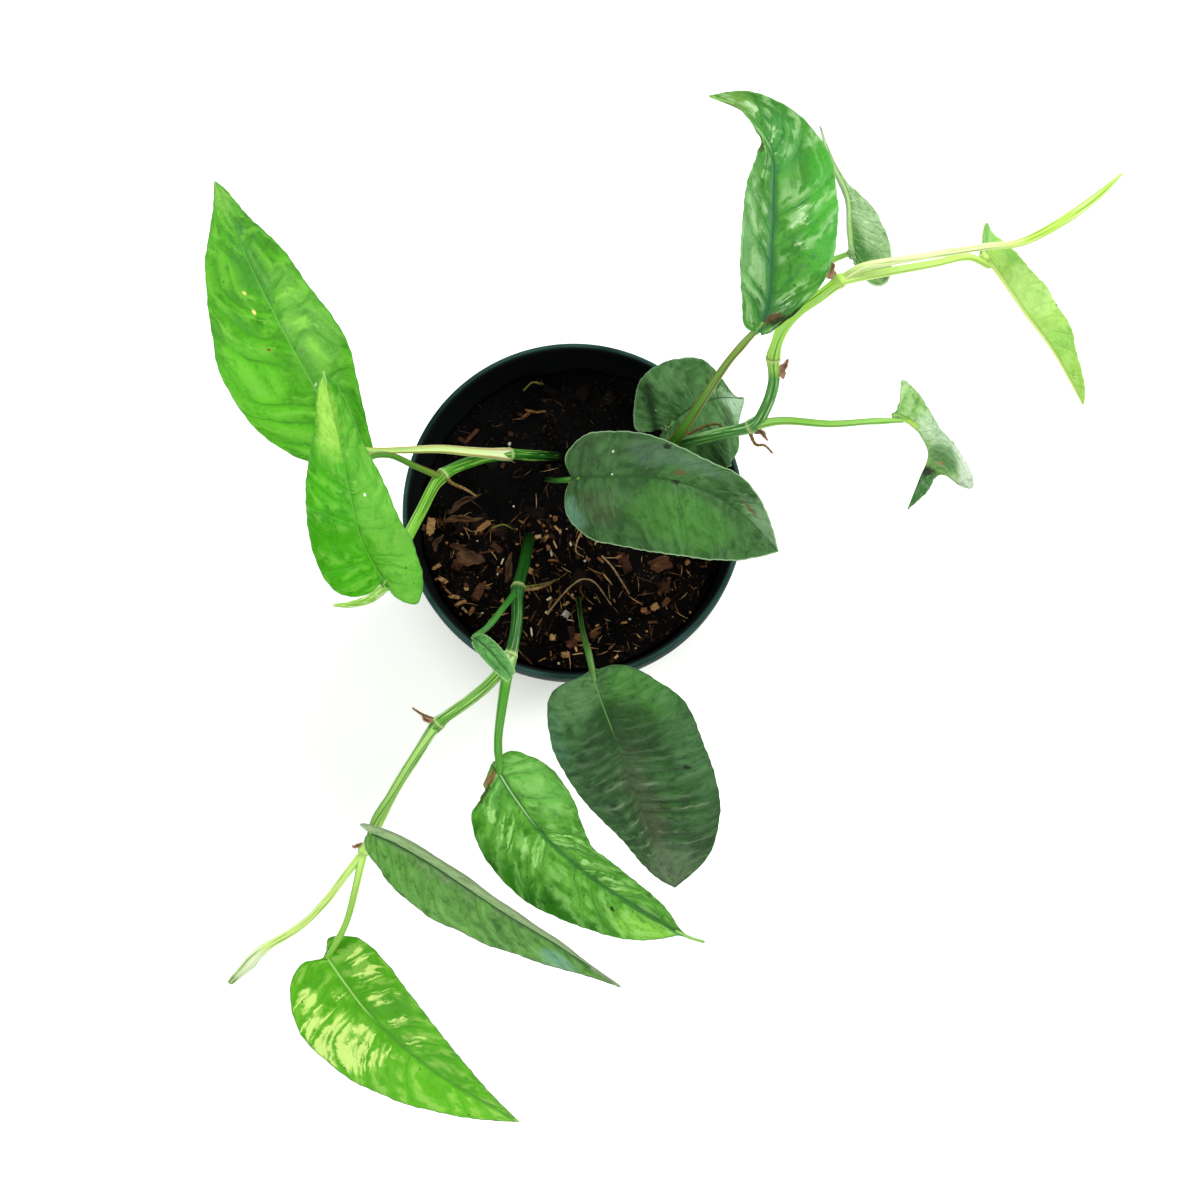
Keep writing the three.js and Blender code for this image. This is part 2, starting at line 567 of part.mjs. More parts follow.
function filledSoil() {
  let soil = barkChips().reduce((whole, chip) => whole.add(chip), soilSolid());
  for (const vine of Object.values(VINES)) soil = soil.subtract(vineStem(vine, GAP));
  for (const leaf of Object.values(LEAVES).filter((each) => !each.vine)) {
    soil = soil.subtract(petioleSolid(leaf, GAP));
  }
  return soil;
}

function namedMesh(name, solid, look) {
  const mesh = new THREE.Mesh(geometryOf(solid), new THREE.MeshStandardMaterial(COLOURS[look]));
  mesh.name = name;
  return mesh;
}

const plant = new THREE.Group();
plant.add(namedMesh('pot', potSolid(), 'pot'));
plant.add(namedMesh('soil', filledSoil(), 'soil'));
for (const [name, vine] of Object.entries(VINES)) plant.add(namedMesh(name, vineSolid(vine), 'vine'));
for (const [name, leaf] of Object.entries(LEAVES)) {
  plant.add(namedMesh(name, leafSolid(leaf), leaf.vine ? 'youngLeaf' : 'oldLeaf'));
}
for (const [name, shoot] of Object.entries(NEW_LEAVES)) {
  plant.add(namedMesh(name, newLeafSolid(shoot), 'newLeaf'));
}

export default plant;
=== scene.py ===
import math
import random

import bpy
import numpy as np
from mathutils import Euler, Matrix, Vector, noise


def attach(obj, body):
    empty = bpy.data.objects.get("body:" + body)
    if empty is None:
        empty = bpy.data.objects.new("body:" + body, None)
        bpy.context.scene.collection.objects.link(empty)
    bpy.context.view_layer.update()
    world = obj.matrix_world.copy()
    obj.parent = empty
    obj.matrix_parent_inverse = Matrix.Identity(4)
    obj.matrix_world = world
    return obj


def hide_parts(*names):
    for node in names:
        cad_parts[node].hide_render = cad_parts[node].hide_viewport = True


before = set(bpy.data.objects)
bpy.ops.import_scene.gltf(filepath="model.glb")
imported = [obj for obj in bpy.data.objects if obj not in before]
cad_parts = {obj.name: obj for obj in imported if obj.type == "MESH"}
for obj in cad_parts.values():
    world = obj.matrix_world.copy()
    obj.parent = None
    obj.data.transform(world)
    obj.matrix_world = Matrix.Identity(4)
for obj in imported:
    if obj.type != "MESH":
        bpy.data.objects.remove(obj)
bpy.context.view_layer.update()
mm = 0.001  # the shapes are written in millimetres, as the part's source has them
fullTurn = 2 * math.pi
print("frame loaded:", len(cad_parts), "nodes")


# Camera, light and floor
studio = dict(
    camera=(0.00843, -0.10148, 0.6052),
    tilt=8,  # degrees from straight down
    lens=50,
    sensor=36,
    aim=(0, 0, 0.1),
    floor="f6f6f4",
    floorGlow=0.36,
    shade=(0.032, 0.072),  # the glow fades in between these distances, so that the pot's own shadow shows
    sky=0.34,
    lamps=[  # name, place, size and watts
        ("softBack", (0.95, 0.75, 1.05), 0.9, 24),
        ("softLeft", (-1.15, 0.15, 0.95), 0.9, 10),
        ("softFront", (0.15, -1.25, 0.85), 0.8, 7),
    ],
)


def tint(code):
    channels = [int(code[i : i + 2], 16) / 255 for i in (0, 2, 4)]
    linear = [c / 12.92 if c <= 0.04045 else ((c + 0.055) / 1.055) ** 2.4 for c in channels]
    return (*linear, 1)


class Wire:  # a socket whose arithmetic adds Math nodes
    def __init__(self, paint, socket):
        self.paint = paint
        self.socket = socket

    def math(self, operation, *others):
        return self.paint.node("Math", dict(operation=operation), dict(enumerate([self, *others])))

    def __add__(self, other):
        return self.math("ADD", other)

    def __sub__(self, other):
        return self.math("SUBTRACT", other)

    def __rsub__(self, other):
        return self.paint.node("Math", dict(operation="SUBTRACT"), {0: other, 1: self})

    def __mul__(self, other):
        return self.math("MULTIPLY", other)

    def __truediv__(self, other):
        return self.math("DIVIDE", other)

    def top(self, other):
        return self.math("MAXIMUM", other)

    def fold(self, reach):
        return self.math("PINGPONG", reach)

    def size(self):
        return self.math("ABSOLUTE")

    def step(self, low, high):
        values = {"Value": self, "From Min": low, "From Max": high}
        return self.paint.node("MapRange", dict(interpolation_type="SMOOTHSTEP"), values)

    __radd__ = __add__
    __rmul__ = __mul__


class Paint:  # a material, and the one way that its nodes are added
    def __init__(self, name, gloss=0.5, rough=0.5):
        self.material = bpy.data.materials.new(name)
        self.material.use_nodes = True
        self.tree = self.material.node_tree
        self.shader = self.tree.nodes["Principled BSDF"]
        self.give("Specular IOR Level", gloss)
        self.give("Roughness", rough)
        self.place = self.node("TexCoord", None, None, "Object")

    def node(self, kind, settings=None, values=None, out=0):
        made = self.tree.nodes.new("ShaderNode" + kind)
        for key, value in (settings or {}).items():
            setattr(made, key, value)
        for key, value in (values or {}).items():
            self.plug(made.inputs[key], value)
        return Wire(self, made.outputs[out])

    def plug(self, socket, value):
        if isinstance(value, Wire):
            self.tree.links.new(value.socket, socket)
        else:
            socket.default_value = value

    def give(self, key, value):
        self.plug(self.shader.inputs[key], value)

    def mix(self, share, first, second, way="MIX"):
        first, second = (tint(tone) if isinstance(tone, str) else tone for tone in (first, second))
        settings = dict(data_type="RGBA", blend_type=way, clamp_factor=True)
        return self.node("Mix", settings, {0: share, 6: first, 7: second}, 2)

    def lay(self, share, tone, way="MIX"):
        # One more layer over the coat, which is the base colour so far
        self.coat = self.mix(share, self.coat, tone, way)

    def ramp(self, value, stops):
        made = self.node("ValToRGB", None, {0: value})
        elements = made.socket.node.color_ramp.elements
        while len(elements) < len(stops):
            elements.new(1)
        for element, (place, code) in zip(elements, stops):
            element.position = place
            element.color = tint(code)
        return made

    def vector(self, x, y, z):
        return self.node("CombineXYZ", None, {0: x, 1: y, 2: z})

    def stretched(self, x, y, z):
        return self.node("Mapping", None, {"Vector": self.place, "Scale": (x, y, z)})

    def noise(self, scale, detail=2, rough=0.5, where=None):
        values = {"Vector": where or self.place, "Scale": scale, "Detail": detail, "Roughness": rough}
        return self.node("TexNoise", None, values)

    def streaks(self, x, y, z, detail=2, rough=0.5):
        return self.noise(1, detail, rough, self.vector(x, y, z))

    def cells(self, where, scale):
        return self.node("TexVoronoi", None, {"Vector": where, "Scale": scale}, "Distance")

    def fact(self, name):
        return self.node("Attribute", dict(attribute_name=name), None, "Fac")

    def axes(self, where):
        apart = self.node("SeparateXYZ", None, {0: where})
        return [Wire(self, socket) for socket in apart.socket.node.outputs]

    def map(self):
        return self.axes(self.node("UVMap", dict(uv_map="UVMap")))[:2]

    def length(self, where):
        return self.node("VectorMath", dict(operation="LENGTH"), {0: where}, "Value")

    def oval(self, where, ragged, x, y, long, wide):
        # 1 in the middle of an oval on the leaf's own map, and 0 past its ragged rim
        offset = self.node("VectorMath", dict(operation="SUBTRACT"), {0: where, 1: (x, y, 0)})
        scaled = self.node("VectorMath", dict(operation="DIVIDE"), {0: offset, 1: (long, wide, 1)})
        return (self.length(scaled) + ragged).step(1.3, 0.5)

    def finish(self, height, depth, strength=1, rough=None):
        self.give("Base Color", self.coat)
        values = {"Height": height, "Distance": depth, "Strength": strength}
        self.give("Normal", self.node("Bump", None, values))
        if rough:
            self.give("Roughness", rough)
        return self


def makeStudio():
    scene = bpy.context.scene
    scene.view_settings.view_transform = "Standard"
    bpy.ops.object.camera_add(location=studio["camera"], rotation=(math.radians(studio["tilt"]), 0, 0))
    scene.camera = bpy.context.object
    scene.camera.data.lens = studio["lens"]
    scene.camera.data.sensor_width = studio["sensor"]
    scene.camera.data.clip_end = 20
    scene.world = bpy.data.worlds.new("softRoom")
    scene.world.use_nodes = True
    sky = scene.world.node_tree.nodes["Background"].inputs
    sky["Color"].default_value = (1, 1, 1, 1)
    sky["Strength"].default_value = studio["sky"]
    for name, place, size, watts in studio["lamps"]:
        bpy.ops.object.light_add(type="AREA", location=place)
        light = bpy.context.object
        light.name = name
        light.data.size = size
        light.data.energy = watts
        light.rotation_euler = (Vector(studio["aim"]) - light.location).to_track_quat("-Z", "Y").to_euler()
    bpy.ops.mesh.primitive_plane_add(size=8)
    floor = bpy.context.object
    floor.name = "floor"
    paint = Paint("floorPaper", rough=0.8)
    paint.give("Base Color", tint(studio["floor"]))
    glow = paint.length(paint.place).step(*studio["shade"])
    paint.give("Emission Color", paint.mix(glow, "000000", "ffffff"))
    paint.give("Emission Strength", studio["floorGlow"])
    floor.data.materials.append(paint.material)


makeStudio()
print("studio ready")


# Shape helpers
def unit(v):
    return v / np.maximum(np.linalg.norm(v, axis=-1, keepdims=True), 1e-12)


def between(a, b, t):
    return a + (b - a) * t


def ease(value, low, high):
    t = np.clip((value - low) / (high - low), 0, 1)
    return t * t * (3 - 2 * t)


def bell(away, width):
    return np.exp(-((away / width) ** 2))


def onCircle(radius, turn):
    return radius * math.cos(turn), radius * math.sin(turn)


def turnFrom(middle, angles):
    # How far round the angles are from the middle one, up to half a turn either way
    return np.angle(np.exp(1j * (angles - middle)))


class Route:  # a smooth curve through points, read by the share of its length
    def __init__(self, points, samples=201):
        knots = np.array(points, float)
        self.knots = np.vstack([2 * knots[0] - knots[1], knots, 2 * knots[-1] - knots[-2]])
        self.spans = len(knots) - 1
        self.times = np.linspace(0, 1, samples)
        steps = np.linalg.norm(np.diff(self.atTime(self.times), axis=0), axis=1)
        self.travelled = np.concatenate([[0], np.cumsum(steps)])
        self.length = self.travelled[-1]

    def atTime(self, times):
        place = np.clip(times, 0, 1) * self.spans
        knot = np.minimum(place.astype(int), self.spans - 1)
        t = (place - knot)[..., None]
        before, start, end, after = (self.knots[knot + k] for k in range(4))
        leave = (end - before) / 2
        arrive = (after - start) / 2
        square = 3 * (end - start) - 2 * leave - arrive
        cube = 2 * (start - end) + leave + arrive
        return start + leave * t + square * t**2 + cube * t**3

    def timeAt(self, shares):
        return np.interp(np.asarray(shares, float) * self.length, self.travelled, self.times)

    def at(self, shares):
        return self.atTime(self.timeAt(shares))

    def heading(self, shares, step=1e-4):
        time = self.timeAt(shares)
        return unit(self.atTime(np.minimum(time + step, 1)) - self.atTime(np.maximum(time - step, 0)))

    def nearest(self, point, samples=401):
        shares = np.linspace(0, 1, samples)
        return shares[np.argmin(np.linalg.norm(self.at(shares) - point, axis=1))]


def giveFact(mesh, fact, values):
    layer = mesh.attributes.new(fact, "FLOAT", "POINT")
    layer.data.foreach_set("value", np.asarray(values, np.float32).ravel())


def readAll(items, key, wide=1, kind=np.float32):
    values = np.empty(len(items) * wide, kind)
    items.foreach_get(key, values)
    return values


def seal(threshold, closed=True):
    # Merges what meets, turns the faces of a closed piece outwards and leaves edit mode
    bpy.ops.mesh.select_all(action="SELECT")
    bpy.ops.mesh.remove_doubles(threshold=threshold)
    if closed:
        bpy.ops.mesh.normals_make_consistent(inside=False)
    bpy.ops.object.mode_set(mode="OBJECT")


def placedGrid(name, places, u, v, facts=None, closed=False):
    # A grid whose points are put in place one by one, and whose meeting edges are merged
    rows, columns = places.shape[:2]
    bpy.ops.mesh.primitive_grid_add(x_subdivisions=columns - 1, y_subdivisions=rows - 1, size=1)
    piece = bpy.context.object
    piece.name = name
    mesh = piece.data
    mesh.name = name
    mesh.vertices.foreach_set("co", (places * mm).ravel())
    flat = np.stack(np.broadcast_arrays(u, v), -1).reshape(-1, 2)
    corners = readAll(mesh.loops, "vertex_index", 1, np.int32)
    mesh.uv_layers[0].data.foreach_set("uv", flat[corners].ravel())
    for fact, values in (facts or {}).items():
        giveFact(mesh, fact, np.broadcast_to(values, (rows, columns)))
    mesh.update()
    bpy.ops.object.mode_set(mode="EDIT")
    seal(1e-6, closed)
    bpy.ops.object.shade_smooth()
    return piece


def tube(name, route, radiusAt, sides, step, section=None, upward=(0, 0, 1), facts=None):
    # A closed stalk along a route: rings carried without twist from its far end, and rounded ends
    steps = max(6, int(route.length / step))
    shares = np.linspace(0, 1, steps + 1)
    angles = np.linspace(0, fullTurn, sides + 1)[None]
    centres = route.at(shares)
    tangents = route.heading(shares)
    across = np.empty_like(tangents)
    across[-1] = unit(np.cross(tangents[-1], upward))
    for i in range(steps - 1, -1, -1):
        across[i] = unit(across[i + 1] - tangents[i] * np.dot(across[i + 1], tangents[i]))
    ups = np.cross(across, tangents)
    radii = radiusAt(shares)
    shape = section(angles, shares[:, None] * route.length) if section else 1
    spokes = across[:, None] * np.cos(angles)[..., None] + ups[:, None] * np.sin(angles)[..., None]
    rings = centres[:, None] + spokes * (radii[:, None] * shape)[..., None]

    def cap(end, narrow, reach):
        tip = centres[end] + reach * radii[end] * tangents[end]
        return (tip + narrow * (rings[end] - centres[end]))[None]

    ends = [cap(0, 0, -0.8), cap(0, 0.72, -0.55), cap(-1, 0.72, 0.55), cap(-1, 0, 0.8)]
    places = np.concatenate([*ends[:2], rings, *ends[2:]])
    places[:, -1] = places[:, 0]
    full = np.concatenate([[0, 0], shares, [1, 1]])[:, None]
    made = {fact: values(full, angles) for fact, values in (facts or {}).items()}
    return placedGrid(name, places, angles / fullTurn, full, made, True)


def modify(kind, **settings):
    # Adds a modifier to the active piece, sets it and applies it
    bpy.ops.object.modifier_add(type=kind)
    modifier = bpy.context.object.modifiers[-1]
    for key, value in settings.items():
        setattr(modifier, key, value)
    bpy.ops.object.modifier_apply(modifier=modifier.name)


def joined(name, pieces):
    bpy.ops.object.select_all(action="DESELECT")
    for piece in pieces:
        piece.select_set(True)
    bpy.context.view_layer.objects.active = pieces[0]
    if len(pieces) > 1:
        bpy.ops.object.join()
    pieces[0].name = name
    return pieces[0]


def settle(piece, paint, slot, *nodes):
    piece.data.materials.append(paint.material)
    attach(piece, "root")
    if nodes:
        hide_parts(*nodes)


# Pot
pot = dict(
    rim=54,
    height=90,
    base=38,
    band=11,
    step=1.8,
    wall=1.3,
    floor=2,
    holes=6,
    holeRadius=4.5,
    holeRing=25,
    green="132c29",
    # inside: near-black paint over the inner wall, a painted shade for the pot's dark inside
    inside="0d0f0f",
    # the tone of the scuffs, and of a painted highlight along the lip
    wearAndHighlight="3f625b",
    dust="35281d",
)
bandFoot = pot["height"] - pot["band"]
wallTop = pot["rim"] - pot["step"]


def innerRadius(z):
    return between(pot["base"], wallTop, z / bandFoot) - pot["wall"]


def potPaint():
    paint = Paint("potPlastic", 0.04)
    inside = paint.fact("inside")
    cloudy = paint.noise(60, 4)
    paint.coat = paint.mix(cloudy.step(0.35, 0.75) * 0.35, pot["green"], "0d201e")
    scuffs = paint.noise(1, 4, 0.7, paint.stretched(900, 900, 40)).step(0.66, 0.8)
    paint.lay(scuffs * 0.3, pot["wearAndHighlight"])
    # Painted highlight: lighter teal in patches along the lip
    paint.lay(paint.fact("lip") * cloudy.step(0.3, 0.6) * 0.5, pot["wearAndHighlight"])
    # Painted shade: the inner wall is painted near black
    paint.lay(inside, pot["inside"])
    grains = paint.noise(900, 3, 0.7).step(0.62, 0.72)
    dusty = paint.noise(45, 3).step(0.45, 0.7)
    paint.lay(grains * dusty * (inside * 0.15 + 0.1), pot["dust"])
    rings = paint.noise(1, 1, 0.5, paint.stretched(4, 4, 900))
    rough = cloudy * 0.2 + inside * 0.2 + grains * 0.2 + 0.42
    return paint.finish(paint.noise(2600, 3) * 0.5 + rings * 0.5, 0.00012, 0.6, rough)


def makePot():
    drills = []
    for i in range(pot["holes"]):
        place = (*onCircle(pot["holeRing"] * mm, fullTurn * i / pot["holes"]), mm)
        radius = pot["holeRadius"] * mm
        bpy.ops.mesh.primitive_cylinder_add(vertices=40, radius=radius, depth=8 * mm, location=place)
        drills.append(bpy.context.object)
    drill = joined("drill", drills)
    bpy.ops.object.transform_apply()
    rim, top, base, floor = pot["rim"], pot["height"], pot["base"], pot["floor"]
    profile = [
        (0, 1.2), (base - 5, 1.2), (base - 4, 0), (base - 1.6, 0), (base - 0.5, 0.45), (base, 1.5),
        (wallTop - 0.1, bandFoot - 0.8), (wallTop + 0.25, bandFoot), (rim - 0.5, bandFoot),
        (rim - 0.1, bandFoot + 0.3), (rim, bandFoot + 1), (rim, top - 2.6), (rim - 0.15, top - 2.2),
        (rim - 0.15, top - 1.4), (rim - 0.25, top - 0.6), (rim - 0.7, top - 0.05), (rim - 1.3, top),
        (rim - 2, top - 0.1), (rim - 2.4, top - 0.5), (rim - 2.5, top - 1.2),
        (innerRadius(bandFoot) + 0.9, bandFoot + 1.2), (innerRadius(bandFoot) + 0.3, bandFoot - 0.2),
        *[(innerRadius(z), z) for z in (50, 24, 3.2)], (innerRadius(floor) - 1.2, floor), (0, floor),
    ]
    bpy.ops.mesh.primitive_plane_add(size=0.01)
    shell = bpy.context.object
    shell.name = "pot_shell"
    bpy.ops.object.mode_set(mode="EDIT")
    bpy.ops.mesh.merge(type="CENTER")
    drawn = Vector()
    for i, (r, z) in enumerate(profile):
        move = {"value": Vector((r * mm, 0, z * mm)) - drawn}
        drawn += move["value"]
        if i:
            bpy.ops.mesh.extrude_vertices_move(TRANSFORM_OT_translate=move)
        else:
            bpy.ops.transform.translate(**move)
    bpy.ops.mesh.select_all(action="SELECT")
    bpy.ops.mesh.spin(steps=160, angle=fullTurn, center=(0, 0, 0), axis=(0, 0, 1))
    seal(1e-5)
    modify("BOOLEAN", operation="DIFFERENCE", object=drill)
    bpy.data.objects.remove(drill)
    bpy.ops.object.shade_smooth_by_angle(angle=math.radians(50))
    x, y, z = readAll(shell.data.vertices, "co", 3).reshape(-1, 3).T / mm
    radius = np.hypot(x, y)
    inside = (radius < innerRadius(z) + 0.7) & (z > 1.8) & (z < bandFoot + 1.5)
    inside |= (radius < rim - 1.5) & (z > bandFoot)
    giveFact(shell.data, "inside", inside)
    giveFact(shell.data, "lip", (z > top - 1.3) & ~inside)
    settle(shell, potPaint(), "pot", "pot")


makePot()
print("pot ready")


# Soil
soil = dict(
    level=75,
    relief=1.6,
    foot=2.3,
    rings=120,
    sectors=300,
    hollows=[(-6, 20, 3), (15.5, 12, 3.4), (-14.5, -8, 3.4), (-8.5, 12, 2), (23.5, 12, 2.4), (1.5, -27, 2.4)],
    peat=[(0.35, "090809"), (0.55, "0f0c0b"), (0.8, "1c150f")],
    bark=[(0, "080706"), (0.25, "1c110b"), (0.5, "593724"), (0.72, "99693f"), (0.9, "d8ad70"), (1, "f0debc")],
    bigChips=26,
    chips=340,
    crumbs=760,
    slivers=210,
    perlite=8,
    seenPerlite=[(-2.7, -31.6), (-19.5, 3.5), (-21, 24), (3.5, -14), (-31, -15), (18, -33)],
    seenChips=[  # x, y, length, width, turn in degrees and tone
        (-46.5, -3, 5, 2.2, 80, 0.84), (-42, -20.5, 3.2, 1.1, -30, 0.85), (-44.5, -16, 2.6, 1, 30, 0.8),
        (-38.5, -26, 3, 1, -10, 0.84), (-36.5, -28, 3.4, 0.9, 20, 0.78), (-33, -30.5, 2.6, 1, 60, 0.72),
        (-31, -4, 7.5, 1.5, 38, 0.76), (-18.7, -34.1, 4.6, 1.9, 70, 0.76), (27.7, -15.4, 6, 3.8, 20, 0.46),
        (28.3, -22.5, 4.4, 3, 0, 0.36), (26, -29, 2.4, 1.8, 30, 0.82), (22.5, -30, 1.8, 1.4, 0, 0.7),
        (29.5, -27.5, 3, 1.5, 50, 0.55), (2.1, -39, 3.6, 2.2, 0, 0.62), (6.5, -37.7, 2.8, 2, 40, 0.56),
        (-0.8, -41, 3, 2.2, 20, 0.5), (-2.7, -44.5, 2.4, 1.6, 0, 0.8), (-34, 27, 6, 1, 45, 0.5),
        (-14, 35.6, 4, 0.7, -15, 0.66), (-16, 34.5, 3, 0.6, 35, 0.6), (-11, 34.8, 3.2, 0.6, 5, 0.62),
    ],
)


def soilLine(x, y):
    bumps = math.sin(x * 0.31 + 1) * math.cos(y * 0.27) + 0.6 * math.sin(x * 0.13 - y * 0.19 + 2)
    return soil["level"] + soil["relief"] * bumps - 2 * (x * x + y * y) / pot["rim"] ** 2


def soilTop(x, y):
    place = Vector((x, y, 3.7))
    grit = noise.fractal(place * 0.42, 0.9, 2.1, 4) * 0.55 + noise.noise(place * 1.9) * 0.28
    clods = max(0, noise.noise(place * 0.16)) * 1.1
    hollow = sum(bell(math.hypot(x - a, y - b), r) for a, b, r in soil["hollows"])
    return soilLine(x, y) + grit + clods - 1.3 * hollow


def soilPaint():
    paint = Paint("peat", 0.04, 0.95)
    grit = paint.noise(900, 5, 0.65)
    clods = paint.noise(160, 3)
    paint.coat = paint.ramp(grit * 0.7 + clods * 0.3, soil["peat"])
    fibre = paint.cells(paint.stretched(1, 0.35, 1), 1500)
    # nearFront is 1 over the front half of the soil. The back half is painted darker, a painted shadow of the
    # pot's back wall, and its fibres and specks are dimmed with it
    nearFront = paint.axes(paint.place)[1].step(0.012, -0.012)
    paint.lay(fibre.step(0.16, 0.05) * clods.step(0.5, 0.7) * nearFront * 0.6, "4a2c17")
    paint.lay((1 - nearFront) * 0.6, "0a0a0a")
    specks = paint.noise(1300, 3).step(0.66, 0.72) * clods.step(0.45, 0.6)
    paint.lay(specks * (nearFront * 0.7 + 0.08), "a57a4c")
    return paint.finish(grit, 0.0006)


def makeSoil():
    edge = innerRadius(soil["level"] - 4) - 0.35
    angles = np.linspace(0, fullTurn, soil["sectors"] + 1)
    rows = []
    for share in np.linspace(0, 1, soil["rings"] + 1):
        ring = [onCircle(edge * share**0.8, angle) for angle in angles]
        rows.append([(x, y, soilTop(x, y)) for x, y in ring])
    for radius in (innerRadius(soil["foot"]) - 0.5, 0):
        rows.append([(*onCircle(radius, angle), soil["foot"]) for angle in angles])
    places = np.array(rows)
    places[:, -1] = places[:, 0]
    down = np.linspace(0, 1, len(rows))[:, None]
    bed = placedGrid("soil_bed", places, angles[None] / fullTurn, down, closed=True)
    settle(bed, soilPaint(), "soil", "soil")


def barkPaint():
    paint = Paint("barkChips", 0.12, 0.85)
    tone = paint.fact("tone")
    paint.coat = paint.ramp(tone, soil["bark"])
    grain = paint.noise(520, 4, 0.65, paint.stretched(1, 3.2, 3.2))
    paint.lay(grain.step(0.45, 0.7) * 0.65, "150c07")
    paint.lay(grain.step(0.42, 0.3) * tone * 0.5, "c79f6c")
    return paint.finish(grain, 0.0004)


def roughBlock(cuts, seed, jitter, worn=0.35):
    # One chip or crumb, a millimetre across
    bpy.ops.mesh.primitive_cube_add(size=1)
    block = bpy.context.object
    bpy.ops.object.mode_set(mode="EDIT")
    bpy.ops.mesh.subdivide(number_cuts=cuts, smoothness=worn)
    bpy.ops.object.mode_set(mode="OBJECT")
    rng = random.Random(seed)
    for vertex in block.data.vertices:
        vertex.co += Vector([rng.uniform(-jitter, jitter) for _ in range(3)])
    bpy.ops.object.shade_smooth_by_angle(angle=math.radians(35))
    return block


def grainOf(seed):
    # The same repeatable numbers that the part's source strews its chips with
    state = seed
    while True:
        state = (state * 1664525 + 1013904223) % 4294967296
        yield state / 4294967296


def somewhere(draw, reach):
    turn = fullTurn * draw()
    return onCircle(reach * math.sqrt(draw()), turn)


def spot(x, y, lift, size, turns, tone, ground=soilTop):
    # Where one copy lies on the soil, and its tone
    place = Vector((x, y, ground(x, y) + lift)) * mm
    return Matrix.LocRotScale(place, Euler(turns), Vector(size) * mm), tone


def strew(name, model, spots, paint, *nodes):
    # Copies of one model, each with its own mesh, place and tone, joined into one piece
    copies = []
    for matrix, tone in spots:
        mesh = model.data.copy()
        mesh.transform(matrix)
        giveFact(mesh, "tone", np.full(len(mesh.vertices), tone))
        copies.append(bpy.data.objects.new(name, mesh))
        bpy.context.scene.collection.objects.link(copies[-1])
    bpy.data.objects.remove(model)
    settle(joined(name, copies), paint, "soil", *nodes)


def makeBark():
    numbers = grainOf(7)
    rng = random.Random(11)
    spots = []
    for _ in range(soil["bigChips"]):
        x, y = somewhere(numbers.__next__, 44)
        size = (3 + 5 * next(numbers), 1.8 + 2 * next(numbers), 1.9)
        turns = (0.5 * next(numbers), 0.4 * next(numbers), math.pi * next(numbers))
        # Painted shade: big chips in the back half get darker tones
        tone = rng.uniform(0.15, 0.5) if y < 0 else rng.uniform(0, 0.16)
        spots.append(spot(x, y, 0.15, size, turns, tone, soilLine))
    strew("bark_big", roughBlock(4, 3, 0.07, 0.15), spots, barkPaint(), "soil")
    spots = [spot(x, y, 0.4, (long, wide, 1.3), (0.2, -0.15, math.radians(turn)), tone)
             for x, y, long, wide, turn, tone in soil["seenChips"]]
    while len(spots) < soil["chips"]:
        x, y = somewhere(rng.random, 48.5)
        fromLeft = ease(x, 0, 35)
        if rng.random() > (0.95 - 0.45 * fromLeft if y < 0 else 0.16):
            continue
        chunk = rng.uniform(0.6, 2)
        size = (chunk, chunk * rng.uniform(0.35, 0.9), chunk * rng.uniform(0.3, 0.6))
        if rng.random() < 0.5:
            size = (rng.uniform(1.5, 3.8), rng.uniform(0.3, 0.65), rng.uniform(0.22, 0.4))
        turns = (rng.uniform(-0.5, 0.5), rng.uniform(-0.45, 0.45), rng.uniform(0, math.pi))
        # Painted shade: chips in the back half get darker tones
        tone = min(1, max(0, rng.gauss(0.42, 0.36))) * (1 - 0.25 * fromLeft) if y < 2 else rng.uniform(0, 0.5)
        spots.append(spot(x, y, 0.25, size, turns, tone))
    strew("bark_small", roughBlock(2, 5, 0.15, 0), spots, barkPaint())
    spots = []
    for _ in range(soil["crumbs"]):
        x, y = somewhere(rng.random, 49)
        tone = rng.uniform(0, 0.35) if rng.random() < 0.78 else rng.uniform(0.5, 1)
        grain = rng.uniform(0.4, 1.5) if tone < 0.5 else rng.uniform(0.35, 0.9)
        size = (grain, grain * rng.uniform(0.6, 1), grain * rng.uniform(0.5, 0.9))
        turns = [rng.uniform(0, 3) for _ in range(3)]
        # Painted shade: crumbs in the back half are darker
        spots.append(spot(x, y, 0.1, size, turns, tone if y < 2 else tone * 0.35))
    strew("peat_crumbs", roughBlock(1, 8, 0.18), spots, barkPaint())


def makeSlivers():
    # Thin curved fibres: one bent sliver, copied
    arc = Route([(-0.5, 0, -0.05), (-0.2, 0.05, 0.03), (0.15, 0.06, 0.05), (0.5, 0, -0.04)])
    sliver = tube("sliver", arc, lambda s: 0.05 * np.sin(math.pi * np.clip(s, 0.08, 0.92)), 5, 0.14)
    sliver.data.transform(Matrix.Scale(1 / mm, 4))
    rng = random.Random(23)
    spots = []
    while len(spots) < soil["slivers"]:
        x, y = somewhere(rng.random, 48)
        if rng.random() > (0.95 if y < 0 else 0.14):
            continue
        size = (rng.uniform(2, 6.5), rng.uniform(1.8, 3.6), rng.uniform(1.4, 3))
        turns = (rng.uniform(-0.4, 0.4), rng.uniform(-0.35, 0.35), rng.uniform(0, fullTurn))
        spots.append(spot(x, y, 0.55, size, turns, rng.uniform(0.4, 0.95)))
    strew("fibres", sliver, spots, barkPaint())


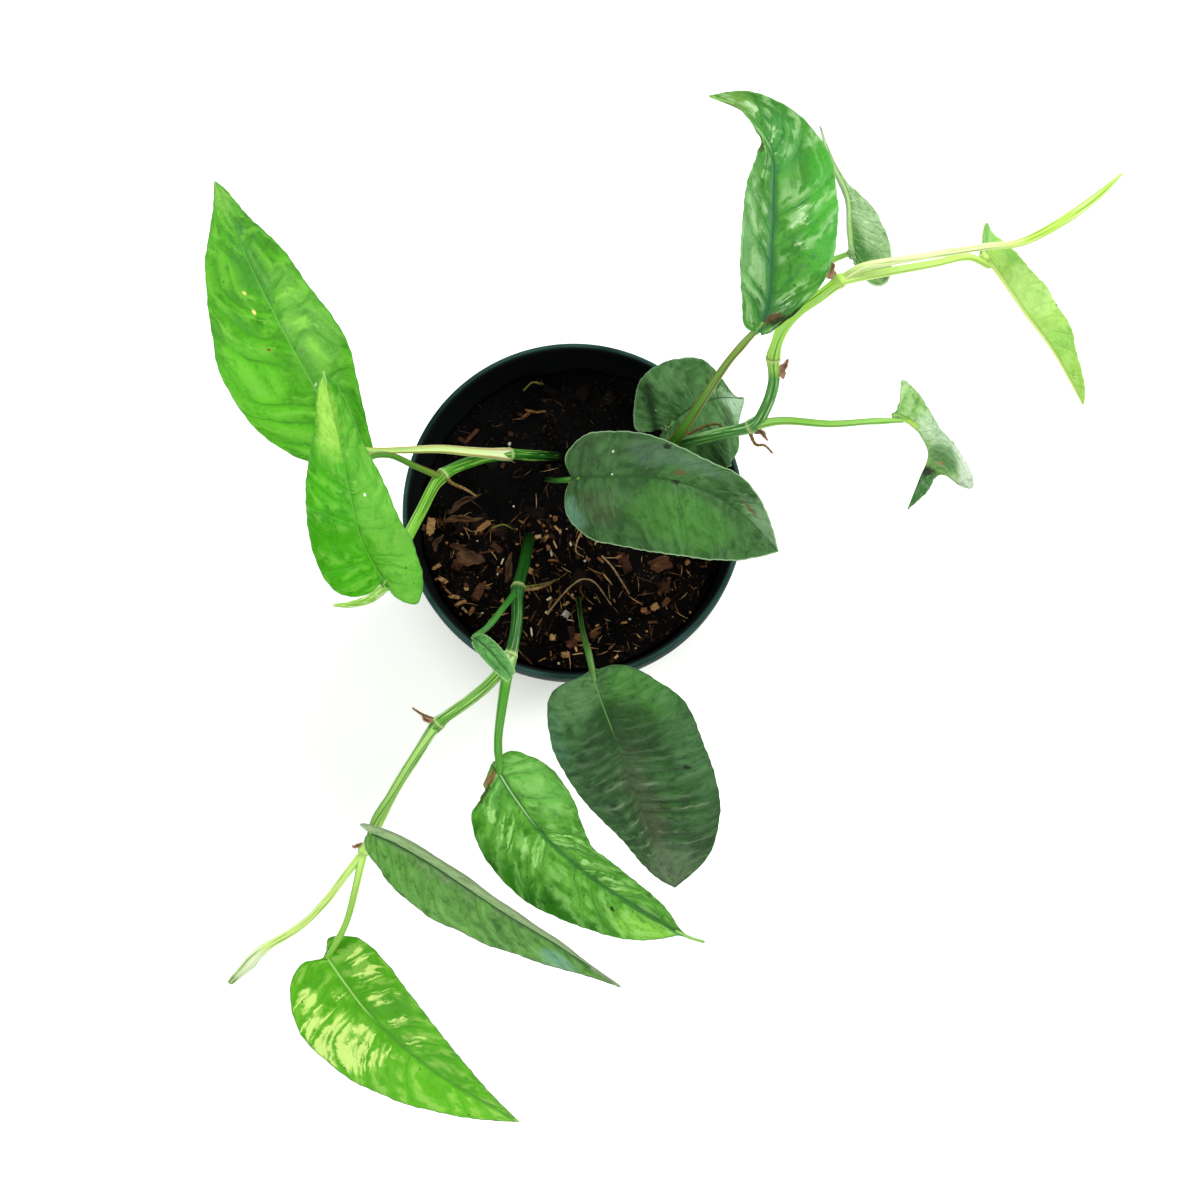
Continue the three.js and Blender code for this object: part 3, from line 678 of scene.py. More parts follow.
def makePerlite():
    paint = Paint("perlite", rough=0.9)
    paint.coat = paint.mix(paint.noise(1500, 3), "b9b2a4", "f2efe6")
    paint.finish(paint.noise(2500, 3), 0.0003)
    rng = random.Random(4)
    seen = soil["seenPerlite"]
    spots = []
    for i in range(soil["perlite"]):
        x, y = seen[i] if i < len(seen) else (rng.uniform(-38, 38), rng.uniform(-40, 5))
        grain = rng.uniform(0.5, 0.95) if i else 2
        turns = [rng.uniform(0, 3) for _ in range(3)]
        spots.append(spot(x, y, 0.3, (grain, grain * 0.85, grain * 0.75), turns, 1))
    strew("perlite", roughBlock(2, 6, 0.12), spots, paint)


# Dead leaf scraps and loose roots on the soil
litter = dict(
    scraps=[  # place, turn in degrees, length, width and curl
        ((-35, 4, 79), 33, 12, 3, 2.2),
        ((-35.5, -1.5, 79), 8, 13, 2.8, 2),
        ((-33, -14, 78.5), -18, 9.5, 5, 0.9),
        ((-20.7, -17, 78.5), 75, 10, 2.6, 1.5),
        ((-43.5, -9, 79), 70, 6, 2, 1.2),
    ],
    deadLeaf=("1d0f08", "4d3019", "937049"),
    roots=dict(
        pale_roots=[
            ("6d4a2c", "b08f62", "e0cda0"),
            [(-8.4, -31.6, 76.5), (-4, -26.5, 79.5), (-0.5, -23, 80), (3, -21, 80), (7, -22.2, 79.5),
                (12, -28.7, 76.5)],
            [(9.1, -13.2, 78), (12, -16.5, 79.5), (14, -19.5, 79.5), (17.8, -25.2, 76.5)],
            [(2.4, -5.2, 77), (1, -9, 79.5), (0.8, -12, 79.5), (3.1, -13.2, 77)],
        ],
        green_roots=[
            ("4a4a1c", "7b8132", "a9a25a"),
            [(-17.1, -23.4, 80), (-13, -23.4, 82), (-9, -22.5, 81.5), (-4.6, -20.6, 78)],
            [(-26, -4, 78.5), (-22.5, -3.4, 80.5), (-19.5, -4.5, 79)],
            [(-16.5, 42, 76), (-13.5, 44, 78.5), (-10, 44, 76.5)],
        ],
    ),
)


def dryPaint(name, dark, middle, light):
    paint = Paint(name, 0.3, 0.8)
    across, along = paint.map()
    fibre = paint.streaks(across * 26, along * 3, 0, 4, 0.6)
    stops = [(0.25, dark), (0.5, middle), (0.75, light)]
    paint.coat = paint.ramp(fibre * 0.6 + paint.noise(260, 3) * 0.4, stops)
    return paint.finish(fibre, 0.0004)


def scrap(place, turn, long, wide, curl):
    # A curled, pointed bit of dead leaf or bract
    u = np.linspace(0, 1, 35)[:, None]
    t = np.linspace(-1, 1, 15)[None]
    half = wide / 2 * (np.sin(math.pi * u**0.8) ** 0.7 + 0.02) * (1 + 0.16 * np.sin(u * 19 + wide))
    roll = curl * (0.6 + 0.5 * u)
    y = half * np.sin(roll * t) / roll + 0.6 * np.sin(u * 5 + long)
    z = half * (1 - np.cos(roll * t)) / roll + 0.35 * np.sin(u * 9 + 3 * t) + 0.9 * (u - 0.4) ** 2 * curl
    turned = (long * (u - 0.5) + 1j * y) * np.exp(1j * math.radians(turn))
    places = np.stack([turned.real, turned.imag, z], -1) + place
    piece = placedGrid("scrap", places, t / 2 + 0.5, u)
    modify("SOLIDIFY", thickness=0.28 * mm, offset=0)
    return piece


def makeRoots(name, routes, radius, sides, step):
    return joined(name, [tube("root", Route(points), radius, sides, step) for points in routes])


def makeLitter():
    scraps = joined("dead_leaf_scraps", [scrap(*each) for each in litter["scraps"]])
    settle(scraps, dryPaint("deadLeaf", *litter["deadLeaf"]), "soil")
    for name, (tones, *routes) in litter["roots"].items():
        roots = makeRoots(name, routes, lambda s: 0.34 * (1 - 0.45 * s) + 0.05 * np.sin(s * 40), 10, 0.5)
        settle(roots, dryPaint(name, *tones), "soil")


makeSoil()
makeBark()
makeSlivers()
makePerlite()
makeLitter()
print("soil ready")


# Vines: each stem's route, radius at both ends, nodes as points of the route, roots and tones along it
vines = {}
vines["vine_left"] = dict(
    route=[(-4.5, 23.5, 60), (-6, 20, 76), (-13, 17, 90), (-20.5, 15.5, 98), (-30, 12.5, 103),
        (-40, 6.5, 107), (-46, -5, 109), (-52.5, -18, 108), (-56.5, -27, 105)],
    radius=(1.6, 1.7), nodes=(3, 5),
    roots=[[(-38.5, 6, 107), (-36, 4, 108), (-32.5, 2.5, 107.5), (-29.5, 1, 105)]],
    # The tones fade to near black towards the soil end, a painted shade under the leaves, and the stripes
    # start only past it
    tones=[(0, "050c04"), (0.17, "081a07"), (0.23, "0f3a0c"), (0.29, "1b5a17"), (0.4, "27721a"),
        (0.47, "46921e"), (0.62, "4c9a22"), (0.68, "74b238"), (0.85, "7abc3c"), (1, "90cc46")],
    stripe="9ace5e", striped=(0.15, 0.27),
)
vines["vine_right"] = dict(
    route=[(13, 14, 60), (15.5, 12, 77), (21.5, 14, 92), (29.5, 16.5, 104), (36, 17, 110), (44.5, 18, 115),
        (54, 19.5, 119), (57.5, 23.5, 124), (59.5, 30, 129), (59, 36.5, 134), (61, 42.5, 140),
        (65, 46.5, 145), (70.5, 49.5, 149), (76.5, 53.5, 152)],
    radius=(1.9, 1.6), nodes=(3, 6, 9, 13),
    roots=[[(32, 16.8, 106.5), (37, 20, 110), (43.5, 21.5, 113), (46.5, 18.5, 115.5)],
        [(53, 18.5, 118), (55, 14.5, 116.5), (58, 14.5, 114.5), (60.5, 12.5, 113)]],
    tones=[(0, "0c3408"), (0.25, "245e1a"), (0.42, "387828"), (0.47, "4a8e36"), (0.55, "468438"),
        (0.715, "589a46"), (0.735, "a2d45c"), (0.82, "a2da48"), (0.93, "aee052"), (1, "c2ee60")],
    stripe="a6d68c", striped=(0.15, 0.27),
)
vines["vine_front"] = dict(
    route=[(-14.5, 0.5, 60), (-14.5, -8, 77), (-15.5, -17.5, 87), (-17, -26.5, 95), (-17, -37.5, 100),
        (-19, -48.5, 103), (-24, -55.5, 104), (-31, -61.5, 103), (-41, -68.5, 99), (-48, -78, 94),
        (-55, -88, 88), (-61.5, -99.5, 80), (-66, -107, 75)],
    radius=(1.9, 1.5), nodes=(3, 5, 8, 12),
    roots=[[(-15.5, -26.5, 94.5), (-11.5, -26, 93.5), (-8, -24.5, 91.5), (-5.5, -22.5, 89)],
        [(-42, -67, 99.5), (-45.5, -65.5, 100), (-48.5, -63.5, 99)]],
    # The tones fade to near black towards the soil end, a painted shade in the pot, and the stripes start
    # only past it
    tones=[(0, "050c04"), (0.11, "081c07"), (0.15, "12400e"), (0.2, "1a5413"), (0.44, "22621b"),
        (0.455, "b9dd8e"), (0.475, "86bb58"), (0.5, "7fb850"), (0.62, "6ca83c"), (0.66, "549a34"),
        (0.8, "8fc850"), (1, "b4e068")],
    stripe="b3da8a", striped=(0.28, 0.5),
)
bracts = [  # the dry sheaths that stay at the nodes: place, turn in degrees, length, width and curl
    ((73.5, 56.5, 152), 115, 6.5, 3.6, 1.4),
    ((62.3, 33.5, 131), 80, 6, 3, 1.6),
    ((-43.8, -66.8, 100), 150, 5, 1.8, 1.6),
    ((-67.6, -105.2, 76), 160, 3.4, 1.9, 1.4),
    ((56.6, 17, 117.5), -30, 5.5, 2.2, 1.8),
]


def fibrous(name, tones, clouds, waver, ribs, run):
    # The start of each stem's paint: wavering tones along it, and lines that run with it
    paint = Paint(name, 0.2)
    around, along = paint.map()
    cloudy = paint.noise(clouds, 3)
    paint.coat = paint.ramp(along + (cloudy - 0.5) * waver, tones)
    return paint, around, along, cloudy, paint.streaks(around * ribs, along * run, 0)


def stemPaint(name, vine):
    paint, around, along, cloudy, lines = fibrous(name + "Skin", vine["tones"], 330, 0.012, 17, 5)
    broken = paint.streaks(around * 8, along * 26, 1, 3).step(0.36, 0.5)
    pale = lines.step(0.53, 0.6) * broken * along.step(*vine["striped"])
    paint.lay(pale * 0.8, vine["stripe"])
    paint.lay(lines.step(0.47, 0.36) * 0.8, "6f9358", "MULTIPLY")
    paint.lay(paint.streaks(around * 22, along * 60, 3).step(0.7, 0.78) * 0.4, "1f4218")
    paint.lay(paint.fact("ring") * 0.75, "bfe08c")
    paint.lay(paint.fact("scar") * 0.75, "6d5a30")
    return paint.finish(lines * 0.7 + paint.noise(2200) * 0.3, 0.00025, 0.8, cloudy * 0.25 + 0.27)


def makeVine(name, vine):
    route = Route(vine["route"])
    nodes = [route.nearest(vine["route"][i]) * route.length for i in vine["nodes"]]

    def nearNodes(shares, width, shift=0):
        return np.max([bell(shares * route.length - node - shift, width) for node in nodes], axis=0)

    def radius(shares):
        ring = 0.16 * nearNodes(shares, 0.4, -0.9) - 0.1 * nearNodes(shares, 0.5, 0.4)
        return between(*vine["radius"], shares) + 0.5 * nearNodes(shares, 2.2) + ring

    def ridged(angles, along):
        return 1 + 0.035 * np.cos(9 * angles + 0.02 * along) + 0.02 * np.cos(4 * angles + 1 + 0.05 * along)

    def taper(shares):
        return 0.6 * (1 - 0.5 * shares) * (1 + 0.14 * np.sin(shares * 55))

    facts = dict(ring=lambda s, _: nearNodes(s, 0.55, -0.9), scar=lambda s, _: nearNodes(s, 0.22, -0.35))
    stem = tube(name + "_stem", route, radius, 36, 0.55, ridged, facts=facts)
    settle(stem, stemPaint(name, vine), "vine", name)
    roots = makeRoots(name + "_roots", vine["roots"], taper, 12, 0.35)
    settle(roots, dryPaint(name + "Root", "32240f", "7c5f30", "c0a264"), "vine", name)


for name, vine in vines.items():
    makeVine(name, vine)
sheaths = joined("dry_bracts", [scrap(*each) for each in bracts])
settle(sheaths, dryPaint("dryBract", "7a4a34", "b58a70", "d8b8a0"), "vine")
print("vines ready")


# Leaves: the shapes are those of the solids, and the looks are each leaf's own. Margins are points along and
# across the midrib. Zones, flecks and marks are ovals on the blade: place, size, tone and strength, in shares
# of the way from stalk to tip and from midrib to margin, where the left side is negative
# Some zones, the crease tone and the crests are painted sheen, highlight and shade, as said where they stand
leafMesh = dict(lines=132, columns=18, crowding=1.35, thick=0.45, thin=0.22, keel=0.8)
young = dict(
    slot="young_leaf", field="5fb82c", deep="47941a", pale="8ad652", under="8cc466", patch=0.8, mottled=0.9,
    lift=(1.4, 1.22, 1.2, 1), zones=[], flecks=[], marks=[], fleckLong=3.2, fleckRun=2.4, gloss=0.15,
    specks=0.7, veinTone="3d8423", veinShow=0.45, ribTone="3c8a2c", ribWidth=0.45, ribEnd=0.95,
    edgeTone="4c8a3a", edgeShow=0.55, veins=12, arch=0.05, quilt=0.13, rough=0.38,
    stalkTones=[(0, "9fd46a"), (0.3, "6eb542"), (1, "63ab3a")], wing="4d8b2c",
)
old = young | dict(
    slot="old_leaf", field="46723a", deep="2c5224", pale="6a9660", under="7c9a68", mottled=1,
    lift=(1.36, 1.26, 1.4, 1), fleckLong=3, gloss=0.18, specks=0.6, veinTone="2c5028", veinShow=0.35,
    ribTone="2f5a2a", ribWidth=0.4, edgeTone="86a880", edgeShow=0.7, veins=14, quilt=0.08, rough=0.42,
    stalkTones=[(0, "060f05"), (0.38, "0c260a"), (0.55, "235c18"), (0.8, "4c9436"), (1, "6aab4c")],
    wing="2f6a24",
)
leaves = {}
leaves["leaf_left_back"] = young | dict(
    petiole=[(-20.5, 15.5, 98), (-30.5, 14, 108), (-40, 13.5, 114), (-51, 12, 119), (-59.5, 11.5, 121)],
    radius=(1.7, 0.7),
    rib=[(-66, 11.5, 121), (-72.5, 23.5, 128), (-82.5, 41, 131), (-96.5, 67.5, 125), (-112.5, 101.5, 106)],
    face=(-0.1, -0.1, 1), fold=(8, 8), droop=3,
    left=[(-2, -3), (0, -8), (3, -13), (8, -16.8), (15.6, -20.5), (24, -22.3), (33, -22.9), (43.6, -21.9),
        (56, -18), (67.7, -14.6), (76, -12), (86, -7.9), (96, -3.8)],
    right=[(-2, 6.4), (0, 7.3), (9, 9.7), (17.6, 12.5), (26.6, 15.2), (35.6, 15.3), (48.3, 13.3),
        (62.3, 11.7), (73, 9), (83.5, 6), (94.5, 3.8), (102.4, 2.2)],
    field="58b222", deep="409216", pale="8cd44c", ribTone="7acb50", ribWidth=0.3, quilt=0.42,
    # crests: the tone of a painted highlight on the quilted ridges
    quiltAt=(0.5, 0.32), litCrests="86d448", veinShow=0.6, veins=10, arch=(0.13, -0.14), mottled=0.7,
    zones=[(0.72, 0.1, 0.13, 0.5, "4c9638", 0.6), (0.2, 0.55, 0.16, 0.4, "3f9a1c", 0.65),
        (0.35, -0.65, 0.22, 0.35, "62c624", 0.55), (0.95, 0, 0.08, 1.2, "84c84c", 0.75),
        (0.45, 0.5, 0.2, 0.5, "80c654", 0.5)],
    flecks=[(0.48, 0.45, 0.16, 0.4, 0.1), (0.5, -0.3, 0.25, 0.5, 0.05)],
    marks=[(0.64, -0.33, 0.007, 0.04, "e8d878", 1), (0.59, -0.3, 0.01, 0.03, "f0e08a", 1),
        (0.48, -0.3, 0.004, 0.02, "7a4a20", 1), (0.36, 0.05, 0.004, 0.03, "e8f6d0", 1)],
    stalkTones=[(0, "e6f3c0"), (0.12, "dcefae"), (0.4, "c9e490"), (1, "a6cf68")], wing="a5803c",
)
leaves["leaf_left_front"] = young | dict(
    petiole=[(-40, 6.5, 107), (-47, 7.5, 118), (-53.5, 8.5, 128), (-59, 5, 135), (-60, -8, 142),
        (-57, -23, 146)],
    radius=(1, 0.9),
    rib=[(-52, -31.5, 147), (-57, -22, 153), (-60, -10.5, 155), (-64, 7, 153), (-70.5, 29.5, 144)],
    face=(0, 0, 1), fold=(22, 24), droop=1,
    left=[(-1, -5), (1, -10), (7, -14), (16, -14), (30, -12), (36, -10), (48, -6), (60, -3)],
    right=[(-6, 1), (-10, 6), (-4, 11), (4, 13), (11, 14), (27, 11), (40, 7), (57, 4)], field="48aa0e",
    deep="3a9608", pale="a2da62", mottled=0.5, gloss=0.1, ribTone="7cc84a", ribWidth=0.3, quilt=0.07,
    # The first zone, the paler right half, is painted sheen where that half faces the light
    zones=[(0.3, 0.62, 0.42, 0.6, "70c440", 0.85), (0.85, -0.4, 0.2, 0.7, "a2d858", 0.8),
        (0.45, -0.95, 0.35, 0.2, "368c08", 0.55), (0.65, 0.5, 0.2, 0.5, "64ba34", 0.7)],
    flecks=[(0.77, -0.45, 0.08, 0.45, 0.1), (0.86, -0.4, 0.05, 0.5, 0.08), (0.6, 0.3, 0.12, 0.4, 0.06)],
    marks=[(0.53, 0.4, 0.006, 0.035, "f0f8e4", 1)],
    stalkTones=[(0, "6f8a34"), (0.25, "4f8a26"), (1, "63ab3a")], wing="5c4420",
)
leaves["leaf_right_top"] = young | dict(
    petiole=[(29.5, 16.5, 104), (33.5, 19, 116), (43.5, 30.5, 140), (48.5, 35, 150)], radius=(1.7, 0.9),
    rib=[(53, 37.5, 154), (55.5, 45.5, 158), (56, 58.5, 160), (57, 74.5, 158), (57.5, 93, 151),
        (51.5, 108, 142), (41, 118, 131)],
    face=(0, 0, 1), fold=(8, 8), droop=3,
    left=[(0, -3.5), (2.5, -6), (10, -8), (18, -8.7), (27, -8.7), (38, -8.3), (45.5, -7.4), (54, -5.2),
        (66, -2.5), (80, -1)],
    right=[(0.5, 2.5), (5.5, 6), (10, 10.5), (15, 15), (23, 17.7), (32, 18.3), (40.5, 18.4), (52.5, 16.7),
        (58.5, 14.5), (65.5, 12), (72, 9.3), (85, 4.7)],
    field="529a36", deep="3a7c28", pale="bce0a6", mottled=0.55, veins=9, quilt=0.18, fleckLong=5.5,
    fleckRun=4.2, veinTone="2f6f38", veinShow=0.8, ribBand=("34703c", 0.75, 2.2, 0.1, 0.62),
    ribTone="2f6c44", ribEnd=0.7, edgeTone="6da860",
    zones=[(0.45, 0.85, 0.22, 0.35, "44a82c", 0.7), (0.33, -0.85, 0.22, 0.35, "82b676", 0.45),
        (0.3, -0.3, 0.25, 0.2, "3c7c36", 0.6), (0.72, 0.2, 0.12, 0.6, "469444", 0.6),
        (0.93, 0, 0.08, 1.3, "80b04c", 0.6), (0.13, 0.1, 0.08, 0.6, "447c44", 0.6)],
    flecks=[(0.5, -0.45, 0.22, 0.4, 0.05), (0.47, 0.42, 0.06, 0.25, 0.09), (0.39, 0.5, 0.05, 0.22, 0.1),
        (0.3, 0.43, 0.04, 0.24, 0.09), (0.22, 0.35, 0.05, 0.2, 0.08), (0.75, 0.15, 0.06, 0.5, 0.08),
        (0.86, 0.2, 0.03, 0.6, 0.12), (0.3, -0.4, 0.15, 0.4, 0.04)],
    marks=[(0.13, 0.22, 0.035, 0.22, "5c4228", 0.9), (0.1, 0.55, 0.03, 0.35, "23280f", 0.85),
        (0.09, 0.9, 0.05, 0.2, "1a210f", 0.95), (0.67, -1, 0.05, 0.16, "39461f", 0.9),
        (0.89, -0.95, 0.05, 0.3, "4e3d1b", 0.85)],
    bite=(-1, 0.67, 0.035, 0.3), stalkTones=[(0, "2a7a18"), (0.4, "4c8a2a"), (1, "86a648")],
    wing="6e4018",
)
leaves["leaf_right_back"] = old | dict(
    petiole=[(59, 36.5, 134), (61, 45, 130), (66, 56, 128), (71.5, 63, 129), (76.5, 66, 132)],
    radius=(1.3, 0.8),
    rib=[(81.5, 66.5, 138), (81, 74.5, 139), (81, 85, 136), (77.5, 98, 130), (75.5, 113.5, 120)],
    face=(0.1, 0, 1), fold=(-100, 5), droop=2, left=[(0, -2.5), (6, -4.5), (14, -5), (26, -3.5), (40, -1.8)],
    right=[(-5, 1.6), (-8.2, 4), (-9.8, 5.7), (-10.2, 8.7), (-8.5, 11), (-5, 12), (0.3, 12.3), (7, 11.2),
        (13, 8.8), (16, 6.2), (19.5, 3.5), (24, 1.5), (40, 0.7)],
    field="769f5c", deep="52803e", pale="b4d69e", veinTone="4f8046", edgeTone="b9d6a8", ribTone="b4da8c",
    ribWidth=1.3, quilt=0.03,
    zones=[(0.2, 0.4, 0.12, 0.4, "3a7428", 0.9), (0.5, 0.6, 0.25, 0.6, "9cbf8a", 0.7),
        (0.8, 0, 0.2, 1.5, "b0d494", 0.75)],
    flecks=[(0.45, 0.4, 0.2, 0.6, 0.08)], stalkTones=[(0, "b8e070"), (1, "94cf56")], wing="7fb84a",
)
leaves["leaf_right_low"] = young | dict(
    petiole=[(76.5, 53.5, 152), (89, 56, 151), (103.5, 59, 150), (113, 61.3, 149)], radius=(1.4, 0.9),
    rib=[(118, 62, 147), (123.5, 56, 144), (132.5, 48.5, 135), (143.5, 41, 123), (157, 29, 106)],
    face=(0, 0, 1), fold=(6, -125), droop=1,
    left=[(-4.5, -3), (-7, -6.7), (-3, -6.5), (3, -8), (9, -9), (17.5, -10), (27, -11), (34, -10.3),
        (42, -8.8), (48, -6.8), (55, -5), (62.5, -2.7)],
    right=[(-3, 2), (0, 5), (12, 7), (28, 8), (44, 6), (58, 3)], field="a8d566", deep="90c450",
    pale="c8f094", under="bce47e", mottled=0.4, patch=0.6, veinTone="90c45c", veinShow=0.35,
    ribTone="d4ec88", edgeTone="b4de78", ribWidth=1.5, quilt=0.06,
    zones=[(0.1, -0.8, 0.07, 0.5, "7ab566", 0.8), (0.22, -0.85, 0.1, 0.3, "8ac65c", 0.7),
        (0.7, -0.55, 0.07, 0.6, "88c656", 0.7), (0.45, -0.5, 0.15, 0.6, "bce684", 0.5)],
    stalkTones=[(0, "d8f49a"), (1, "b9e264")], wing="a3d34e",
)
leaves["leaf_right_curled"] = old | dict(
    petiole=[(54, 19.5, 119), (63, 19.7, 124), (76, 18, 127), (88, 19, 126)], radius=(1.3, 0.8),
    rib=[(96, 21.5, 122), (101.5, 20, 119), (106.5, 18, 112), (110, 14.5, 102), (109, 9, 91),
        (107, 1.5, 80)],
    face=(0, 0, 1), fold=(12, -100), droop=1,
    left=[(0, -5), (-2, -11), (3, -10), (7, -8), (15, -6), (20, -6), (25, -8), (28, -11), (31, -15),
        (34, -16), (34.5, -12), (33, -8), (33, -5.5), (36, -4.2), (41, -4), (46, -2.5)],
    right=[(3, 1.2), (12, 1.6), (23, 1.6), (30, 1.3), (37, 2.6), (45, 1.5)], field="96c872", deep="78ac54",
    pale="d0e6c4", under="86b464", ribTone="a9d84a", ribWidth=1.4, ribEnd=0.3, edgeTone="a8c490", quilt=0.03,
    # The last zone, the dark tip, is painted shadow under the curled lobe
    zones=[(0.1, -0.8, 0.08, 0.4, "b4dc96", 0.7), (0.45, -0.6, 0.16, 0.8, "b6d8aa", 0.9),
        (0.57, -0.9, 0.1, 0.35, "e2f2da", 0.9), (0.63, -0.3, 0.06, 0.3, "4d8046", 0.8),
        (0.9, -0.4, 0.14, 1, "3d7a36", 0.95)],
    marks=[(0.76, -0.2, 0.035, 0.5, "1b2211", 0.95), (0.84, 0.1, 0.03, 0.2, "1f3a18", 0.8),
        (0.66, -0.3, 0.012, 0.06, "b67c4c", 0.9)],
    stalkTones=[(0, "a2d56a"), (0.3, "83bd4c"), (1, "8cc457")], wing="5c8f36",
)
leaves["leaf_soil_right"] = old | dict(
    petiole=[(-11.5, 15, 60), (-8.5, 12, 77), (-5, 8.5, 92)], radius=(0.8, 0.8),
    rib=[(0, 6, 106), (10, 5, 114), (25, 3.5, 119), (38.5, 0, 119), (51, -6.5, 114), (63, -16, 103)],
    face=(0, -0.05, 1), fold=(6, 6), droop=4,
    left=[(-3, -6), (-1, -10), (5, -13.5), (14, -14), (25, -13), (41, -9), (53, -9), (68, -4)],
    right=[(-2, 4), (-1, 11), (5, 17), (13, 20), (33, 22), (52, 19), (65, 13), (72, 6)], field="437138",
    deep="2a5022", pale="6c9a60", edgeTone="a6cc98", mottled=0.75, veinShow=0.25, quilt=0.05,
    # The bluish oval near the stalk on the right is painted sheen
    zones=[(0.12, -0.3, 0.13, 0.5, "2b5024", 0.75), (0.14, 0.8, 0.07, 0.3, "6a9c80", 0.6),
        (0.27, 0.45, 0.1, 0.3, "4a5a38", 0.5), (0.62, 0.5, 0.2, 0.45, "468430", 0.65),
        (0.55, -0.7, 0.16, 0.35, "58735c", 0.6), (0.9, -0.6, 0.09, 0.6, "86ac80", 0.55)],
    flecks=[(0.85, -0.45, 0.08, 0.4, 0.08)],
    marks=[(0.59, -0.3, 0.022, 0.12, "5c5534", 0.8), (0.61, 0, 0.014, 0.07, "1c2816", 0.9),
        (0.49, -0.87, 0.015, 0.07, "16240f", 0.9), (0.83, -0.45, 0.04, 0.1, "5c4a30", 0.75),
        (0.33, -0.55, 0.005, 0.03, "dcebe2", 1), (0.36, -0.05, 0.005, 0.02, "dcebe2", 1)],
)
leaves["leaf_soil_back"] = old | dict(
    petiole=[(23, 11, 60), (23.5, 12, 77), (26, 18, 88)], radius=(1.1, 0.9),
    rib=[(29.5, 25, 95), (37, 30, 100), (45.5, 32.5, 102), (53.5, 33, 99)], face=(0, -0.1, 1), fold=(5, 5),
    droop=2,
    left=[(-5, -2), (-8.5, -5), (-7.7, -8), (-4, -12.2), (0, -15.6), (4.7, -17), (8.3, -17), (11.5, -16),
        (16.5, -13.5), (19, -10), (21, -5.4), (24, -1.2)],
    right=[(-5, 1), (-8, 5), (-6, 11), (-1.5, 18), (6, 22), (19, 21.5), (24.5, 19), (26.3, 15), (26, 8)],
    # The crease's dark tone is painted shade along the fold
    field="5e9052", deep="406e37", pale="9aba92", crease=((23, 37), (27, 20), 1.4, 0.9, "14330f"),
    veinShow=0.2, quilt=0.04,
    # The first zone, the pale tip, is painted sheen
    zones=[(0.92, 0.3, 0.12, 0.9, "b2d0b0", 0.85), (0.78, 0.45, 0.07, 0.3, "2c3a1c", 0.75),
        (0.6, 0.8, 0.2, 0.3, "3a5f36", 0.6)],
    flecks=[(0.78, -0.3, 0.08, 0.5, 0.13)],
    marks=[(0.36, -0.85, 0.006, 0.03, "16240f", 0.9), (0.32, -0.5, 0.006, 0.03, "dcebe2", 1)],
)
leaves["leaf_soil_front"] = old | dict(
    petiole=[(1, -21.5, 60), (1.5, -27, 77), (3, -38.5, 91), (5, -47, 98)], radius=(0.75, 0.95),
    rib=[(6, -52.5, 99), (9, -62, 100), (13.5, -73.5, 96), (18.5, -86.5, 88), (25, -101.5, 77),
        (32.5, -118.5, 62)],
    face=(0, -0.15, 1), fold=(5, 5), droop=4,
    left=[(0, -7), (3, -13), (9, -18), (20, -24), (34, -25), (48, -25), (62, -22), (75, -14)],
    right=[(1, 10), (4, 15), (12, 18), (22, 19), (38, 16), (55, 10), (67, 7), (76, 4)], field="36622f",
    # crests: the tone of a painted highlight on the ridges
    deep="1f451a", pale="7c9c70", quilt=0.42, quiltAt=(0.7, 0.16), veins=22, arch=-0.07, litCrests="8ba07c",
    veinShow=0.25, fleckLong=0.9, ribWidth=0.34, veinTone="28461f", edgeTone="2c4a28", ribTone="5c8c48",
    ribEnd=0.36,
    zones=[(0.17, 0.45, 0.14, 0.55, "527c48", 0.8), (0.22, -0.62, 0.17, 0.5, "447c32", 0.8),
        (0.38, -0.2, 0.12, 0.5, "1e4216", 0.75), (0.42, 0.25, 0.1, 0.4, "23461c", 0.6),
        (0.3, 0.95, 0.12, 0.2, "4c7f60", 0.35), (0.45, -0.85, 0.2, 0.3, "447240", 0.6),
        (0.7, -0.02, 0.24, 0.3, "484c34", 0.5), (0.94, 0, 0.1, 1.2, "5c7450", 0.8)],
    marks=[(0.54, -0.7, 0.008, 0.05, "12200e", 1)],
    stalkTones=[(0, "060f05"), (0.45, "0c1c09"), (0.62, "1a3a10"), (0.8, "36601e"), (1, "5f923a")],
)
leaves["leaf_front_small"] = old | dict(
    petiole=[(-17, -26.5, 95), (-21, -33.5, 104), (-25, -40, 111)], radius=(1, 0.8),
    rib=[(-29, -43.5, 113), (-26, -46, 114), (-23, -49, 114), (-20.5, -52, 113), (-18, -55, 111)],
    face=(0.1, -0.2, 1), fold=(5, 5), droop=0, left=[(1, -2), (4, -3), (10, -3), (16, -2)],
    right=[(1, 2), (5, 3), (11, 3), (17, 2)], field="64a455", deep="42803a", pale="88c480", veins=8,
    veinShow=0.15, mottled=0.8, quilt=0.05, edgeTone="9cc884", zones=[(0.15, 0, 0.12, 1, "44803c", 0.7)],
    stalkTones=[(0, "2a6f20"), (1, "357f28")],
)
